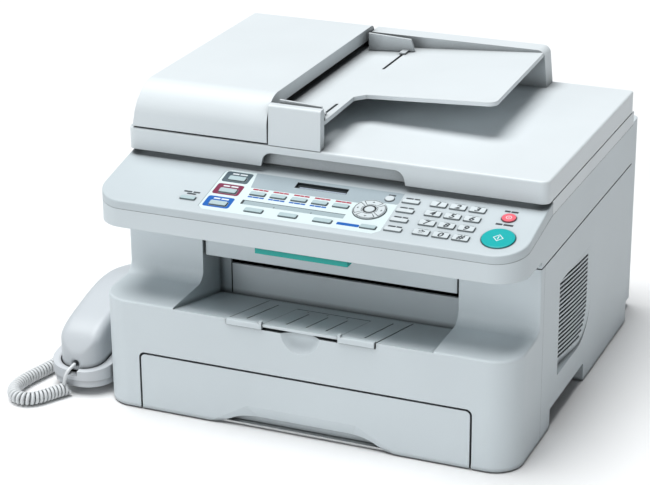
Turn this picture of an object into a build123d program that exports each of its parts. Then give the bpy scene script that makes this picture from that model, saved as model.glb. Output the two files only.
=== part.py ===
# Desktop laser fax machine with a document feeder, a control panel, a paper cassette and a
# handset in a cradle on its left side. Millimetres: X to the right, Y to the back, Z up.
# The origin is the middle of the machine's footprint, on the plane that it stands on.
import os
from math import atan2, cos, degrees, radians, sin, sqrt, tan
from build123d import *

os.makedirs("parts", exist_ok=True)

# Lower body
body_width = 420.0
front_y = -210.6        # front face of the lower body
tower_y = -143.4        # front of the two uprights beside the output recess
cover_seam_y = -134.0   # joint between the front cover and the side covers
side_rear_y = 162.0     # back of the side covers
rear_y = 212.8          # back of the rear housing
ledge_z = 112.0
base_top_z = 178.0
foot_height = 1.5
front_corner_r = 28.0
wall = 3.0
seam = 0.3              # gap at the joints between fixed shells

# Opening top unit: scanner and control panel
part_gap = 1.2          # between the lower body and the top unit
panel_front_y = -208.2
panel_front_z = 212.4
panel_bottom_z = 185.8
panel_seam_z = 204.2    # joint between panel cover and scanner base at the front
panel_slope = 12.5      # degrees
scanner_seam_z = 221.0
scanner_top_z = 234.8
scanner_front_y = -115.0
scanner_rear_y = 160.0
panel_corner_r = 30.0
skirt_half = 128.5
skirt_bottom_z = 141.0
skin = 2.5

# Document cover and feeder
lid_gap = 1.2
lid_height = 22.0
lid_front_y = -130.9
lid_rear_y = 156.6
feeder_left = -208.5
feeder_right = -66.5
feeder_rear_y = 143.0
feeder_top_z = 302.0
tray_end_x = 129.0      # right end of the document tray
tray_left_z = 281.0     # top of the document tray where it enters the feeder
tray_right_z = 295.0

# Output recess and tray
recess_half = 131.0
recess_rear_y = -105.0
recess_front_z = 111.0
recess_rear_z = 88.0
exit_sill_z = 120.2     # top of the wall behind the recess
exit_wall_left = -118.0 # right end of the pillar beside the exit
exit_pillar_z = 139.0
exit_groove = 1.3       # between the pillar and the wall
tray_half = 75.5
extension_half = 38.0
tray_thick = 3.0

# Cassette
cassette_half = 167.0
cassette_height = 58.7
mouth_gap = 2.0
tub_rear_y = 125.0
tub_height = 50.0

# Handset and cradle, beside the left cover
cradle_stand_off = 2.7  # between the cradle and the machine's side
cradle_width = 66.0
cradle_front_y = -207.5
cradle_rear_y = 14.0
cradle_height = 40.0
handset_width = 46.0
handset_front_y = -201.0
handset_rear_y = 6.0
cup_z = 20.0            # floor of the cradle's two cups

# Fits
fit = 0.05              # radial running clearance of a shaft in its hole
slide_gap = 0.4         # beside sliding pieces and keys
shaft_r = 3.0

half = body_width / 2
lid_bottom_z = scanner_top_z + lid_gap
lid_top_z = lid_bottom_z + lid_height
top_bottom_z = base_top_z + part_gap
recess_tilt = degrees(atan2(recess_front_z - recess_rear_z, recess_rear_y - front_y))
cradle_right = -half - cradle_stand_off
cradle_left = cradle_right - cradle_width
handset_x = (cradle_left + cradle_right) / 2


def block(x0, x1, y0, y1, z0, z1, mode=Mode.ADD):
    with BuildSketch(Plane.XY.offset(z0)) as profile:
        with Locations(((x0 + x1) / 2, (y0 + y1) / 2)):
            Rectangle(x1 - x0, y1 - y0)
    extrude(profile.sketch, amount=z1 - z0, mode=mode)


def pair(x0, x1, y0, y1, z0, z1, mode=Mode.ADD):
    block(x0, x1, y0, y1, z0, z1, mode)
    block(-x1, -x0, y0, y1, z0, z1, mode)


def outline(plane, points, amount, mode=Mode.ADD):
    with BuildSketch(plane) as profile:
        with BuildLine():
            Polyline(points, close=True)
        make_face()
    extrude(profile.sketch, amount=amount, mode=mode)


def prism_x(points, x0, x1, mode=Mode.ADD):
    outline(Plane.YZ.offset(x0), points, x1 - x0, mode)


def prism_y(points, y0, y1, mode=Mode.ADD):
    outline(Plane.XZ.offset(-y1), points, y1 - y0, mode)


def prism_z(points, z0, z1, mode=Mode.ADD):
    outline(Plane.XY.offset(z0), points, z1 - z0, mode)


def rod(plane, centre, radius, length, mode=Mode.ADD):
    with BuildSketch(plane) as profile:
        with Locations(centre):
            Circle(radius)
    extrude(profile.sketch, amount=length, mode=mode)


def rod_x(x0, x1, y, z, radius, mode=Mode.ADD):
    rod(Plane.YZ.offset(x0), (y, z), radius, x1 - x0, mode)


def rod_y(y0, y1, x, z, radius, mode=Mode.ADD):
    rod(Plane.XZ.offset(-y1), (x, z), radius, y1 - y0, mode)


def rod_z(z0, z1, x, y, radius, mode=Mode.ADD):
    rod(Plane.XY.offset(z0), (x, y), radius, z1 - z0, mode)


def vertical_edges(y_low, y_high, x_min=0.0):
    return [e for e in edges().filter_by(Axis.Z) if y_low <= e.center().Y <= y_high and abs(e.center().X) >= x_min]


# Inner frame: bottom pan, two side plates, shelf over the cassette and back plate.
side_room = 38.0        # between the body's side and the inner frame
frame_half = half - side_room
frame_plate = 2.0
pan_z = foot_height
pan_top_z = pan_z + frame_plate
shelf_z = 66.0
frame_front_y = tower_y + wall + seam
frame_rear_y = side_rear_y - 4.0
frame_top_z = base_top_z - 4.0
grip_front_y = -104.3
grip_rear_y = 7.0
grip_height = 20.6

exit_y, exit_z = -89.0, 131.0
drum_y, drum_z = 25.0, 112.0
fuser_y, fuser_z = -56.0, 122.0
pickup_y, pickup_z = 100.0, 61.0
heat_shaft_r = 4.0
fan_y, fan_z = -16.0, 86.0
fan_r = 36.0
fan_pin_r = 2.0
fan_out_x = half - 20.0
boss_front_y = cover_seam_y + 12.0
boss_rear_y = side_rear_y - 12.0
boss_low_z, boss_high_z = 50.0, base_top_z - 28.0
cover_bosses = [(y, z) for y in (boss_front_y, boss_rear_y) for z in (boss_low_z, boss_high_z)]
boss_r = 5.0
back_window_half = 120.0
back_window_top_z = 105.0
pickup_window_half = 40.0
pickup_window_reach = 18.0
fan_hub_r = 11.0
fan_spoke = 3.0

with BuildPart() as base_frame:
    pan_half = half - wall - seam
    block(-pan_half, pan_half, front_y + wall + seam, frame_rear_y, pan_z, pan_top_z)
    fillet(vertical_edges(front_y, tower_y), front_corner_r - wall)
    pair(frame_half + frame_plate, pan_half + 1, grip_front_y - seam, grip_rear_y + wall + seam,
         pan_z - 1, pan_top_z + 1, Mode.SUBTRACT)
    pair(frame_half, frame_half + frame_plate, frame_front_y, frame_rear_y, pan_top_z, frame_top_z)
    block(-frame_half, frame_half, recess_rear_y + wall + seam, frame_rear_y, shelf_z, shelf_z + frame_plate)
    block(-frame_half, frame_half, frame_rear_y - frame_plate, frame_rear_y, pan_top_z, frame_top_z)
    block(-back_window_half, back_window_half, frame_rear_y - frame_plate - 1, frame_rear_y + 1, tub_height,
          back_window_top_z, Mode.SUBTRACT)
    block(-pickup_window_half, pickup_window_half, pickup_y - pickup_window_reach,
          pickup_y + pickup_window_reach, shelf_z - 1, shelf_z + frame_plate + 1, Mode.SUBTRACT)
    for y, z, r in [(exit_y, exit_z, shaft_r), (drum_y, drum_z, shaft_r),
                    (fuser_y, fuser_z, heat_shaft_r), (pickup_y, pickup_z, shaft_r)]:
        rod_x(-frame_half - frame_plate - 1, frame_half + frame_plate + 1, y, z, r + fit, Mode.SUBTRACT)
    # cooling fan's ring, spokes and pin on the right side plate
    plate_out = frame_half + frame_plate
    rod_x(frame_half - 1, plate_out + 1, fan_y, fan_z, fan_r - 2, Mode.SUBTRACT)
    rod_x(frame_half, fan_out_x, fan_y, fan_z, fan_r + 4)
    rod_x(frame_half - 1, fan_out_x + 1, fan_y, fan_z, fan_r + 1.5, Mode.SUBTRACT)
    spoke_end = fan_r + 2
    block(frame_half, plate_out, fan_y - spoke_end, fan_y + spoke_end, fan_z - fan_spoke, fan_z + fan_spoke)
    block(frame_half, plate_out, fan_y - fan_spoke, fan_y + fan_spoke, fan_z - spoke_end, fan_z + spoke_end)
    rod_x(frame_half, plate_out, fan_y, fan_z, fan_hub_r)
    rod_x(plate_out, fan_out_x, fan_y, fan_z, fan_pin_r)
base_frame.part.label = "base_frame"
export_step(base_frame.part, "parts/base_frame.step")

# Front cover: lower block with its ledge, the two uprights and the recess between them.
tray_plane = Plane(origin=(0, front_y, recess_front_z), x_dir=(1, 0, 0),
                   z_dir=(0, sin(radians(recess_tilt)), cos(radians(recess_tilt))))
tray_side_gap = 1.2     # the dark line beside the tray
tray_length = (recess_rear_y - front_y) / cos(radians(recess_tilt)) - 8.0
floor_thick = 7.0
lip_bottom_z = 105.2
dimple_r = 28.0
dimple_sink = 20.0
dimple_z = 106.0
ledge_rise = 2.0
ledge_fillet = 12.0

with BuildPart() as front_cover:
    prism_x([(front_y, foot_height), (front_y, ledge_z), (tower_y, ledge_z + ledge_rise),
             (tower_y, base_top_z), (cover_seam_y, base_top_z), (cover_seam_y, foot_height)], -half, half)
    fillet(vertical_edges(front_y - 1, front_y + 1), front_corner_r)
    ledge_inner = front_cover.edges().filter_by(Axis.X).filter_by_position(Axis.Y, tower_y - 1, tower_y + 1)
    fillet(ledge_inner.filter_by_position(Axis.Z, ledge_z, ledge_z + 5), ledge_fillet)
    fillet(front_cover.faces().filter_by(Axis.Y).sort_by(Axis.Y)[0].edges().sort_by(Axis.Z)[-1], 2.0)
    inner_front = front_y + wall
    with BuildSketch(Plane.XY.offset(foot_height)):
        with BuildLine():
            Polyline([(-half + wall, inner_front), (half - wall, inner_front),
                      (half - wall, tower_y + wall), (-half + wall, tower_y + wall)], close=True)
        make_face()
        fillet(vertices().group_by(Axis.Y)[0], front_corner_r - wall)
    extrude(amount=ledge_z - wall - foot_height, mode=Mode.SUBTRACT)
    block(-half + wall, half - wall, tower_y + wall, cover_seam_y + 1, foot_height - 1, base_top_z - wall,
          Mode.SUBTRACT)
    # walls and floor of the output recess
    trough_out = recess_half + wall
    prism_x([(inner_front, ledge_z - wall), (inner_front, recess_front_z - floor_thick),
             (recess_rear_y + wall, recess_rear_z - floor_thick), (recess_rear_y + wall, base_top_z),
             (tower_y, base_top_z), (tower_y, ledge_z - wall)], -trough_out, trough_out)
    prism_x([(front_y - 5, recess_front_z), (front_y, recess_front_z), (recess_rear_y, recess_rear_z),
             (recess_rear_y, base_top_z + 5), (front_y - 5, base_top_z + 5)], -recess_half, recess_half,
            Mode.SUBTRACT)
    block(-recess_half, recess_half, recess_rear_y - 1, recess_rear_y + wall + 1, exit_sill_z, base_top_z + 1,
          Mode.SUBTRACT)
    pillar_right = exit_wall_left - exit_groove
    block(-recess_half, pillar_right, recess_rear_y, recess_rear_y + wall, exit_sill_z, exit_pillar_z)
    block(pillar_right, exit_wall_left, recess_rear_y - 1, recess_rear_y + wall - 0.8, recess_rear_z + 1,
          exit_sill_z + 1, Mode.SUBTRACT)
    # pocket and front notch that the output tray lies in
    with BuildSketch(tray_plane):
        with Locations((0, (tray_length + tray_side_gap - 10) / 2)):
            Rectangle(2 * tray_half, tray_length + tray_side_gap + 10)
    extrude(amount=-tray_thick - seam, mode=Mode.SUBTRACT)
    block(-tray_half, tray_half, front_y - 5, front_y + wall, lip_bottom_z, ledge_z + 5, Mode.SUBTRACT)
    # finger dimple under the tray, backed by its own shell
    with Locations((0, front_y - dimple_sink, dimple_z)):
        Sphere(dimple_r + wall)
    block(-half, half, front_y - 60, front_y, 0, ledge_z + 30, Mode.SUBTRACT)
    block(-40, 40, front_y - 1, front_y + 12, lip_bottom_z, ledge_z + 30, Mode.SUBTRACT)
    with Locations((0, front_y - dimple_sink, dimple_z)):
        Sphere(dimple_r, mode=Mode.SUBTRACT)
    # cassette mouth
    mouth_half = cassette_half + mouth_gap
    with BuildSketch(Plane.XZ.offset(-inner_front - 1)):
        with Locations((0, (cassette_height + mouth_gap) / 2)):
            Rectangle(2 * mouth_half, cassette_height + mouth_gap)
        fillet(vertices().group_by(Axis.Y)[-1], 6)
    extrude(amount=wall + 3, mode=Mode.SUBTRACT)
front_cover.part.label = "front_cover"
export_step(front_cover.part, "parts/front_cover.step")


# Side covers, with a hand grip cut in the bottom edge. The right one has the louvred vent.
vent_front_y, vent_rear_y = -84.0, 24.0
vent_low_z, vent_high_z = 47.0, 143.0
vent_depth = 9.0
vent_corner_r = 42.0
slat_count = 19
slat_gap = 2.5
flange = 12.0
cord_jack_y = 60.0
cord_jack_z = 8.0
jack_half = 6.0
socket_spots = (side_rear_y - 57.0, side_rear_y - 40.0)
socket_half, socket_z = 7.0, 37.0


def side_shell(side):
    outer = side * half
    inner = side * (half - wall)
    x_low, x_high = sorted((outer, inner))
    block(x_low, x_high, cover_seam_y + seam, side_rear_y, foot_height, base_top_z)
    flange_low, flange_high = sorted((outer, side * (half - wall - flange)))
    block(flange_low, flange_high, cover_seam_y + seam, side_rear_y, base_top_z - wall, base_top_z)
    for y, z in cover_bosses:
        boss_low, boss_high = sorted((inner, side * (frame_half + frame_plate)))
        rod_x(boss_low, boss_high, y, z, boss_r)
    with BuildSketch(Plane.YZ.offset(x_low - 20)) as notch:
        with Locations(((grip_front_y + grip_rear_y) / 2, 0)):
            Rectangle(grip_rear_y - grip_front_y, 2 * grip_height)
        fillet(vertices().group_by(Axis.Y)[-1].sort_by(Axis.X)[-1], 3)
    extrude(notch.sketch, amount=40, mode=Mode.SUBTRACT)
    # rear wall of the grip, where the fingers stop
    wall_low, wall_high = sorted((inner, side * (frame_half + frame_plate + seam)))
    block(wall_low, wall_high, grip_rear_y, grip_rear_y + wall, foot_height, grip_height + wall)


with BuildPart() as left_cover:
    side_shell(-1)
    block(-half - 1, -half + wall + 1, cord_jack_y - jack_half, cord_jack_y + jack_half,
          cord_jack_z - jack_half + 0.5, cord_jack_z + jack_half, Mode.SUBTRACT)
    for y in socket_spots:
        block(-half - 1, -half + wall + 1, y - socket_half, y + socket_half, socket_z - socket_half,
              socket_z + socket_half, Mode.SUBTRACT)
left_cover.part.label = "left_cover"
export_step(left_cover.part, "parts/left_cover.step")

def vent_dish(grow, mode):
    rear = (half, vent_rear_y + grow)
    deep = (half - vent_depth - grow, vent_front_y + 6 - grow)
    front = (half, vent_front_y - grow)
    height = vent_high_z - vent_low_z + 2 * grow
    with BuildPart(mode=Mode.PRIVATE) as dish:
        with BuildSketch(Plane.XY.offset(vent_low_z - grow)) as plan:
            with BuildLine():
                ThreePointArc(rear, (half - vent_depth / 4 - grow, vent_rear_y - 40), deep)
                Polyline([deep, front, rear])
            make_face()
        extrude(plan.sketch, amount=height)
        with BuildSketch(Plane.YZ.offset(half - vent_depth - grow - 1)) as outline:
            with Locations(((vent_front_y + vent_rear_y) / 2, (vent_low_z + vent_high_z) / 2)):
                Rectangle(vent_rear_y - vent_front_y + 2 * grow, height)
            fillet(vertices().group_by(Axis.Y)[0].sort_by(Axis.X)[-1], vent_corner_r + grow)
        extrude(outline.sketch, amount=vent_depth + grow + 2, mode=Mode.INTERSECT)
    add(dish.part, mode=mode)


with BuildPart() as right_cover:
    side_shell(1)
    vent_dish(wall, Mode.ADD)
    vent_dish(0, Mode.SUBTRACT)
    slat_pitch = (vent_high_z - vent_low_z - 12) / slat_count
    slot_front = vent_front_y + 9
    with BuildSketch(Plane.YZ.offset(half - vent_depth - wall - 5)) as slots:
        for row in range(slat_count):
            slot_z = vent_low_z + 6 + slat_pitch * (row + 0.5)
            below = max(0.0, vent_low_z + vent_corner_r - slot_z)
            slot_rear = vent_rear_y - 13 - vent_corner_r + sqrt(vent_corner_r ** 2 - below ** 2)
            with Locations(((slot_front + slot_rear) / 2, slot_z)):
                Rectangle(slot_rear - slot_front, slat_gap)
    extrude(slots.sketch, amount=vent_depth + wall + 10, mode=Mode.SUBTRACT)
right_cover.part.label = "right_cover"
export_step(right_cover.part, "parts/right_cover.step")

# Rear housing: the bulge that turns the paper, with a door, the inlet and the power switch.
housing_half = 202.5
housing_bottom_z = 10.7
housing_top_z = 213.0
door_half = housing_half - 52.5
door_low_z, door_high_z = 52.0, 172.0
knuckle_r = 4.0
door_axis_y = rear_y - knuckle_r
door_axis_z = door_low_z + slide_gap + knuckle_r
door_pin_r = 2.0
door_grip_half = 20.0
inlet_x, inlet_z = housing_half - 24.5, 40.0
inlet_w, inlet_h = 27.0, 20.0
inlet_deep = 17.0
pin_end = 6.5           # pins end this far inside the mouth
switch_x, switch_z = inlet_x, 86.0
switch_w, switch_h = 12.0, 20.0
switch_axis_y = rear_y - 5.5
hinge_x = housing_half - 82.5
hinge_y, hinge_z = side_rear_y + 6.0, housing_top_z + 4.0
hinge_half = 10.0
hinge_pin_r = 2.5
hinge_pin = 4.5
screw_left_x = -housing_half + 16.5
screw_low_z, screw_high_z = 35.0, 160.0
screw_spots = [(screw_left_x, screw_low_z), (screw_left_x, screw_high_z),
               (housing_half - 10.5, screw_high_z), (door_half + 13.0, screw_high_z)]
screw_head_r = 3.0
screw_r = 1.5

with BuildPart() as rear_housing:
    housing_front_y = side_rear_y + seam
    block(-housing_half, housing_half, housing_front_y, rear_y, housing_bottom_z, housing_top_z)
    fillet(vertical_edges(rear_y - 1, rear_y + 1), 10)
    block(-housing_half + wall, housing_half - wall, housing_front_y + wall, rear_y - wall,
          housing_bottom_z + wall, housing_top_z - wall, Mode.SUBTRACT)
    block(-housing_half + wall + 4, housing_half - wall - 4, housing_front_y - 1, housing_front_y + wall + 1,
          housing_bottom_z + wall, base_top_z - 4, Mode.SUBTRACT)
    block(-door_half, door_half, rear_y - wall - 1, rear_y + 1, door_low_z, door_high_z, Mode.SUBTRACT)
    pair(door_half, door_half + wall, rear_y - 16, rear_y - wall, door_low_z - wall, door_high_z)
    rod_x(-door_half - wall - 1, door_half + wall + 1, door_axis_y, door_axis_z, door_pin_r + fit, Mode.SUBTRACT)
    block(inlet_x - inlet_w / 2, inlet_x + inlet_w / 2, rear_y - wall - 1, rear_y + 1,
          inlet_z - inlet_h / 2, inlet_z + inlet_h / 2, Mode.SUBTRACT)
    for x, z in screw_spots:
        rod_y(frame_rear_y, rear_y - wall / 2, x, z, boss_r)
        rod_y(rear_y - 1.8, rear_y + 1, x, z, screw_head_r + seam, Mode.SUBTRACT)
        rod_y(rear_y - 12, rear_y + 1, x, z, screw_r + fit, Mode.SUBTRACT)
    # cheeks and hole of the power switch
    cheek_in = switch_w / 2 + slide_gap
    for side in (-1, 1):
        x0, x1 = sorted((switch_x + side * cheek_in, switch_x + side * (cheek_in + 2)))
        block(x0, x1, rear_y - 11, rear_y - wall, switch_z - 6, switch_z + 6)
    rod_x(switch_x - cheek_in - 3, switch_x + cheek_in + 3, switch_axis_y, switch_z, screw_r + fit, Mode.SUBTRACT)
    block(switch_x - cheek_in, switch_x + cheek_in, rear_y - wall - 1, rear_y + 1,
          switch_z - switch_h / 2 - 1, switch_z + switch_h / 2 + 1, Mode.SUBTRACT)
    # hinge blocks and pins for the top unit
    for side in (-1, 1):
        block(side * hinge_x - hinge_half, side * hinge_x + hinge_half, housing_front_y, hinge_y + 8,
              housing_top_z, hinge_z + 4)
        rod_x(side * hinge_x - hinge_half - hinge_pin, side * hinge_x + hinge_half + hinge_pin,
              hinge_y, hinge_z, hinge_pin_r)
rear_housing.part.label = "rear_housing"
export_step(rear_housing.part, "parts/rear_housing.step")

with BuildPart() as rear_door:
    door_in = door_half - slide_gap
    block(-door_in, door_in, rear_y - wall, rear_y, door_axis_z, door_high_z - slide_gap)
    rod_x(-door_in, door_in, door_axis_y, door_axis_z, knuckle_r)
    rod_x(-door_half - wall + 0.5, door_half + wall - 0.5, door_axis_y, door_axis_z, door_pin_r)
    turn_y = rear_y - 20
    for i in (-2, -1, 0, 1, 2):
        rib_x = i * (door_half - 40) / 2
        prism_x([(rear_y - wall, door_low_z + 18), (turn_y, door_low_z + 48), (turn_y, door_high_z - 42),
                 (rear_y - wall, door_high_z - 14)], rib_x - 1, rib_x + 1)
    block(-door_grip_half, door_grip_half, rear_y - 1.2, rear_y + 1, door_high_z - 14, door_high_z - 6,
          Mode.SUBTRACT)
rear_door.part.label = "rear_door"
export_step(rear_door.part, "parts/rear_door.step")

with BuildPart() as ac_inlet:
    inlet_in = 0.1
    half_w, half_h = inlet_w / 2 - inlet_in, inlet_h / 2 - inlet_in
    bottom_y = rear_y - inlet_deep
    block(inlet_x - half_w, inlet_x + half_w, bottom_y - 4, rear_y + 0.6, inlet_z - half_h, inlet_z + half_h)
    block(inlet_x - half_w + 1.4, inlet_x + half_w - 1.4, bottom_y, rear_y + 1, inlet_z - half_h + 1.7,
          inlet_z + half_h - 1.7, Mode.SUBTRACT)
    for x, z in [(-7, -2), (0, 2), (7, -2)]:
        block(inlet_x + x - 1, inlet_x + x + 1, bottom_y, rear_y - pin_end, inlet_z + z - 2.5, inlet_z + z + 2.5)
ac_inlet.part.label = "ac_inlet"
export_step(ac_inlet.part, "parts/ac_inlet.step")

with BuildPart() as power_switch:
    prism_x([(rear_y - 1.5, switch_z), (rear_y + 0.6, switch_z + switch_h / 2 - 0.6),
             (rear_y - 5, switch_z + switch_h / 2 - 0.6), (rear_y - 8, switch_z),
             (rear_y - 5, switch_z - switch_h / 2 + 0.6), (rear_y - 3, switch_z - switch_h / 2 + 0.6)],
            switch_x - switch_w / 2, switch_x + switch_w / 2)
    rod_x(switch_x - switch_w / 2 - 2, switch_x + switch_w / 2 + 2, switch_axis_y, switch_z, screw_r)
power_switch.part.label = "power_switch"
export_step(power_switch.part, "parts/power_switch.step")

with BuildPart() as screws:
    for x, z in screw_spots:
        rod_y(rear_y - 1.8, rear_y - 0.2, x, z, screw_head_r)
        rod_y(rear_y - 11, rear_y - 1.8, x, z, screw_r)
screws.part.label = "screws"
export_step(screws.part, "parts/screws.step")

foot_x = half - 25.0
foot_r = 9.0
with BuildPart() as rubber_feet:
    for x in (-foot_x, foot_x):
        for y in (front_y + 24, side_rear_y - 20):
            rod_z(0, foot_height, x, y, foot_r)
    rod_z(0, foot_height, 0, 0, foot_r)
rubber_feet.part.label = "rubber_feet"
export_step(rubber_feet.part, "parts/rubber_feet.step")

# Print engine
shaft_end = frame_half + frame_plate
carried = frame_half - seam

with BuildPart() as exit_roller:
    rod_x(-shaft_end, shaft_end, exit_y, exit_z, shaft_r)
    for x in (-90, -30, 30, 90):
        rod_x(x - 12, x + 12, exit_y, exit_z, 8)
exit_roller.part.label = "exit_roller"
export_step(exit_roller.part, "parts/exit_roller.step")

heat_r = 11.5
heat_half = 130.0
fuser_front, fuser_rear = 20.0, 24.0
with BuildPart() as heat_roller:
    rod_x(-shaft_end, shaft_end, fuser_y, fuser_z, heat_shaft_r)
    rod_x(-heat_half, heat_half, fuser_y, fuser_z, heat_r)
heat_roller.part.label = "heat_roller"
export_step(heat_roller.part, "parts/heat_roller.step")

with BuildPart() as fuser_frame:
    front, rear = fuser_y - fuser_front, fuser_y + fuser_rear
    floor = shelf_z + frame_plate
    path_z = fuser_z - heat_r
    block(-carried, carried, front, rear, floor, fuser_z + fuser_rear)
    rod_x(-heat_half - 4, heat_half + 4, fuser_y, fuser_z, heat_r + 1, Mode.SUBTRACT)
    rod_x(-carried - 1, carried + 1, fuser_y, fuser_z, heat_shaft_r + seam, Mode.SUBTRACT)
    block(-heat_half + 5, heat_half - 5, front - 1, rear + 1, path_z - 5, path_z + 2, Mode.SUBTRACT)
    hollow_half = carried - 21.7
    block(-hollow_half, hollow_half, front + 6, rear - 6, floor + 3, path_z - 10, Mode.SUBTRACT)
    block(-hollow_half, hollow_half, front - 1, rear + 1, floor + 8, path_z - 14, Mode.SUBTRACT)
fuser_frame.part.label = "fuser_frame"
export_step(fuser_frame.part, "parts/fuser_frame.step")

drum_r = 15.0
drum_half = 122.0
flange_w = 8.0
hopper_rear_y = 95.0
hopper_top_z = 165.0
hopper_low_z = 92.0
with BuildPart() as photo_drum:
    rod_x(-shaft_end, shaft_end, drum_y, drum_z, shaft_r)
    rod_x(-drum_half, drum_half, drum_y, drum_z, drum_r)
    rod_x(drum_half, drum_half + flange_w, drum_y, drum_z, drum_r + 3)
photo_drum.part.label = "photo_drum"
export_step(photo_drum.part, "parts/photo_drum.step")

with BuildPart() as drum_cartridge:
    hopper_front_y = drum_y - 25
    prism_x([(hopper_front_y, hopper_low_z), (hopper_front_y, hopper_top_z - 15),
             (drum_y - 5, hopper_top_z), (hopper_rear_y, hopper_top_z), (hopper_rear_y, hopper_low_z + 18),
             (hopper_rear_y - 35, hopper_low_z)], -carried, carried)
    rod_x(-drum_half - 4, drum_half + flange_w + 3, drum_y, drum_z, drum_r + 4, Mode.SUBTRACT)
    rod_x(-carried - 1, carried + 1, drum_y, drum_z, shaft_r + seam, Mode.SUBTRACT)
    block(-drum_half - 3, drum_half + 3, drum_y - 10, drum_y + 10, hopper_low_z - 12, drum_z, Mode.SUBTRACT)
    block(-carried + 10, carried - 10, hopper_rear_y - 40, hopper_rear_y - 10, hopper_low_z + 28,
          hopper_top_z + 5, Mode.SUBTRACT)
    block(-drum_half / 2, drum_half / 2, drum_y - 5, drum_y + 25, hopper_top_z - 15, hopper_top_z + 5,
          Mode.SUBTRACT)
    pair(carried - 12, carried, drum_y - 5, hopper_rear_y - 15, shelf_z + frame_plate, hopper_low_z + 3)
drum_cartridge.part.label = "drum_cartridge"
export_step(drum_cartridge.part, "parts/drum_cartridge.step")

laser_half, laser_deep = 95.0, 50.0
laser_low_z, laser_top_z = 122.0, 168.0
laser_wall = 7.0
with BuildPart() as laser_unit:
    front = hopper_rear_y + 7
    rear = front + laser_deep
    block(-laser_half, laser_half, front, rear, laser_low_z, laser_top_z)
    block(-laser_half + laser_wall, laser_half - laser_wall, front + 6, rear - 6, laser_low_z + 4,
          laser_top_z + 2, Mode.SUBTRACT)
    block(-laser_half + 15, laser_half - 15, front - 2, front + 8, laser_low_z + 16, laser_low_z + 22,
          Mode.SUBTRACT)
    for x in (-laser_half + 10, laser_half - 10):
        for y in (rear - 26, rear - 6):
            rod_z(shelf_z + frame_plate, laser_low_z + 2, x, y, 5)
laser_unit.part.label = "laser_unit"
export_step(laser_unit.part, "parts/laser_unit.step")

pickup_half, pickup_r = 30.0, 14.0
with BuildPart() as pickup_roller:
    rod_x(-shaft_end, shaft_end, pickup_y, pickup_z, shaft_r)
    rod_x(-pickup_half, pickup_half, pickup_y, pickup_z, pickup_r)
    block(-pickup_half - 1, pickup_half + 1, pickup_y - pickup_r - 1, pickup_y + pickup_r + 1,
          pickup_z + pickup_r - 5, pickup_z + pickup_r + 1, Mode.SUBTRACT)
pickup_roller.part.label = "pickup_roller"
export_step(pickup_roller.part, "parts/pickup_roller.step")

board_x = -half + wall + 6
board_thick = 1.6
board_front_y = cover_seam_y + 39.0
board_rear_y = side_rear_y - 24.0
board_low_z, board_high_z = 26.0, base_top_z - 13.0
with BuildPart() as main_board:
    board_in_x = board_x + board_thick
    block(board_x, board_in_x, board_front_y, board_rear_y, board_low_z, board_high_z)
    for y in (board_front_y + 10, board_rear_y - 10):
        for z in (board_low_z + 34, board_high_z - 10):
            rod_x(board_in_x, -shaft_end, y, z, 3)
    for y in socket_spots:
        block(-half + 0.6, board_x, y - socket_half + 0.2, y + socket_half - 0.2, socket_z - socket_half + 0.2,
              socket_z + socket_half - 0.2)
        block(-half, board_x - 1, y - 5, y + 5, socket_z - 4, socket_z + 4, Mode.SUBTRACT)
    # large components: along the board from its front, height, width, height and thickness
    for y, z, w, h, t in [(55, 120, 30, 30, 3), (115, 70, 40, 22, 12), (155, 130, 24, 40, 15), (35, 70, 26, 26, 3)]:
        block(board_in_x, board_in_x + t, board_front_y + y - w / 2, board_front_y + y + w / 2, z - h / 2,
              z + h / 2)
main_board.part.label = "main_board"
export_step(main_board.part, "parts/main_board.step")

with BuildPart() as fan_rotor:
    rotor_x0, rotor_x1 = plate_out + 0.4, fan_out_x - 1
    rod_x(rotor_x0, rotor_x1, fan_y, fan_z, 12)
    blade_count = 7
    for i in range(blade_count):
        turn = 360 / blade_count * i
        blade_plane = Plane(origin=((rotor_x0 + rotor_x1) / 2, fan_y, fan_z), x_dir=(1, 0, 0),
                            z_dir=(0, cos(radians(turn)), sin(radians(turn))))
        with BuildSketch(blade_plane.offset(11)):
            Rectangle(rotor_x1 - rotor_x0 - 1, 1.6, rotation=38)
        extrude(amount=fan_r - 12)
    rod_x(rotor_x0 - 1, rotor_x1 + 1, fan_y, fan_z, fan_pin_r + fit, Mode.SUBTRACT)
fan_rotor.part.label = "fan_rotor"
export_step(fan_rotor.part, "parts/fan_rotor.step")

# Paper cassette with its lift plate and side guides
tub_half = cassette_half - 4.0
tub_bottom_z = pan_top_z + slide_gap
tub_floor = 2.5
floor_top_z = tub_bottom_z + tub_floor
panel_bottom = foot_height
scoop_top_z = 23.5
scoop_out, scoop_in = 98.0, 56.0
scoop_mouth_z = 10.8
scoop_deep = 6.5
guide_x = 106.0
guide_travel = 30.0
lift_half = 70.0
lift_front_y = front_y + 24
lift_pin_z = floor_top_z + 3

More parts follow.
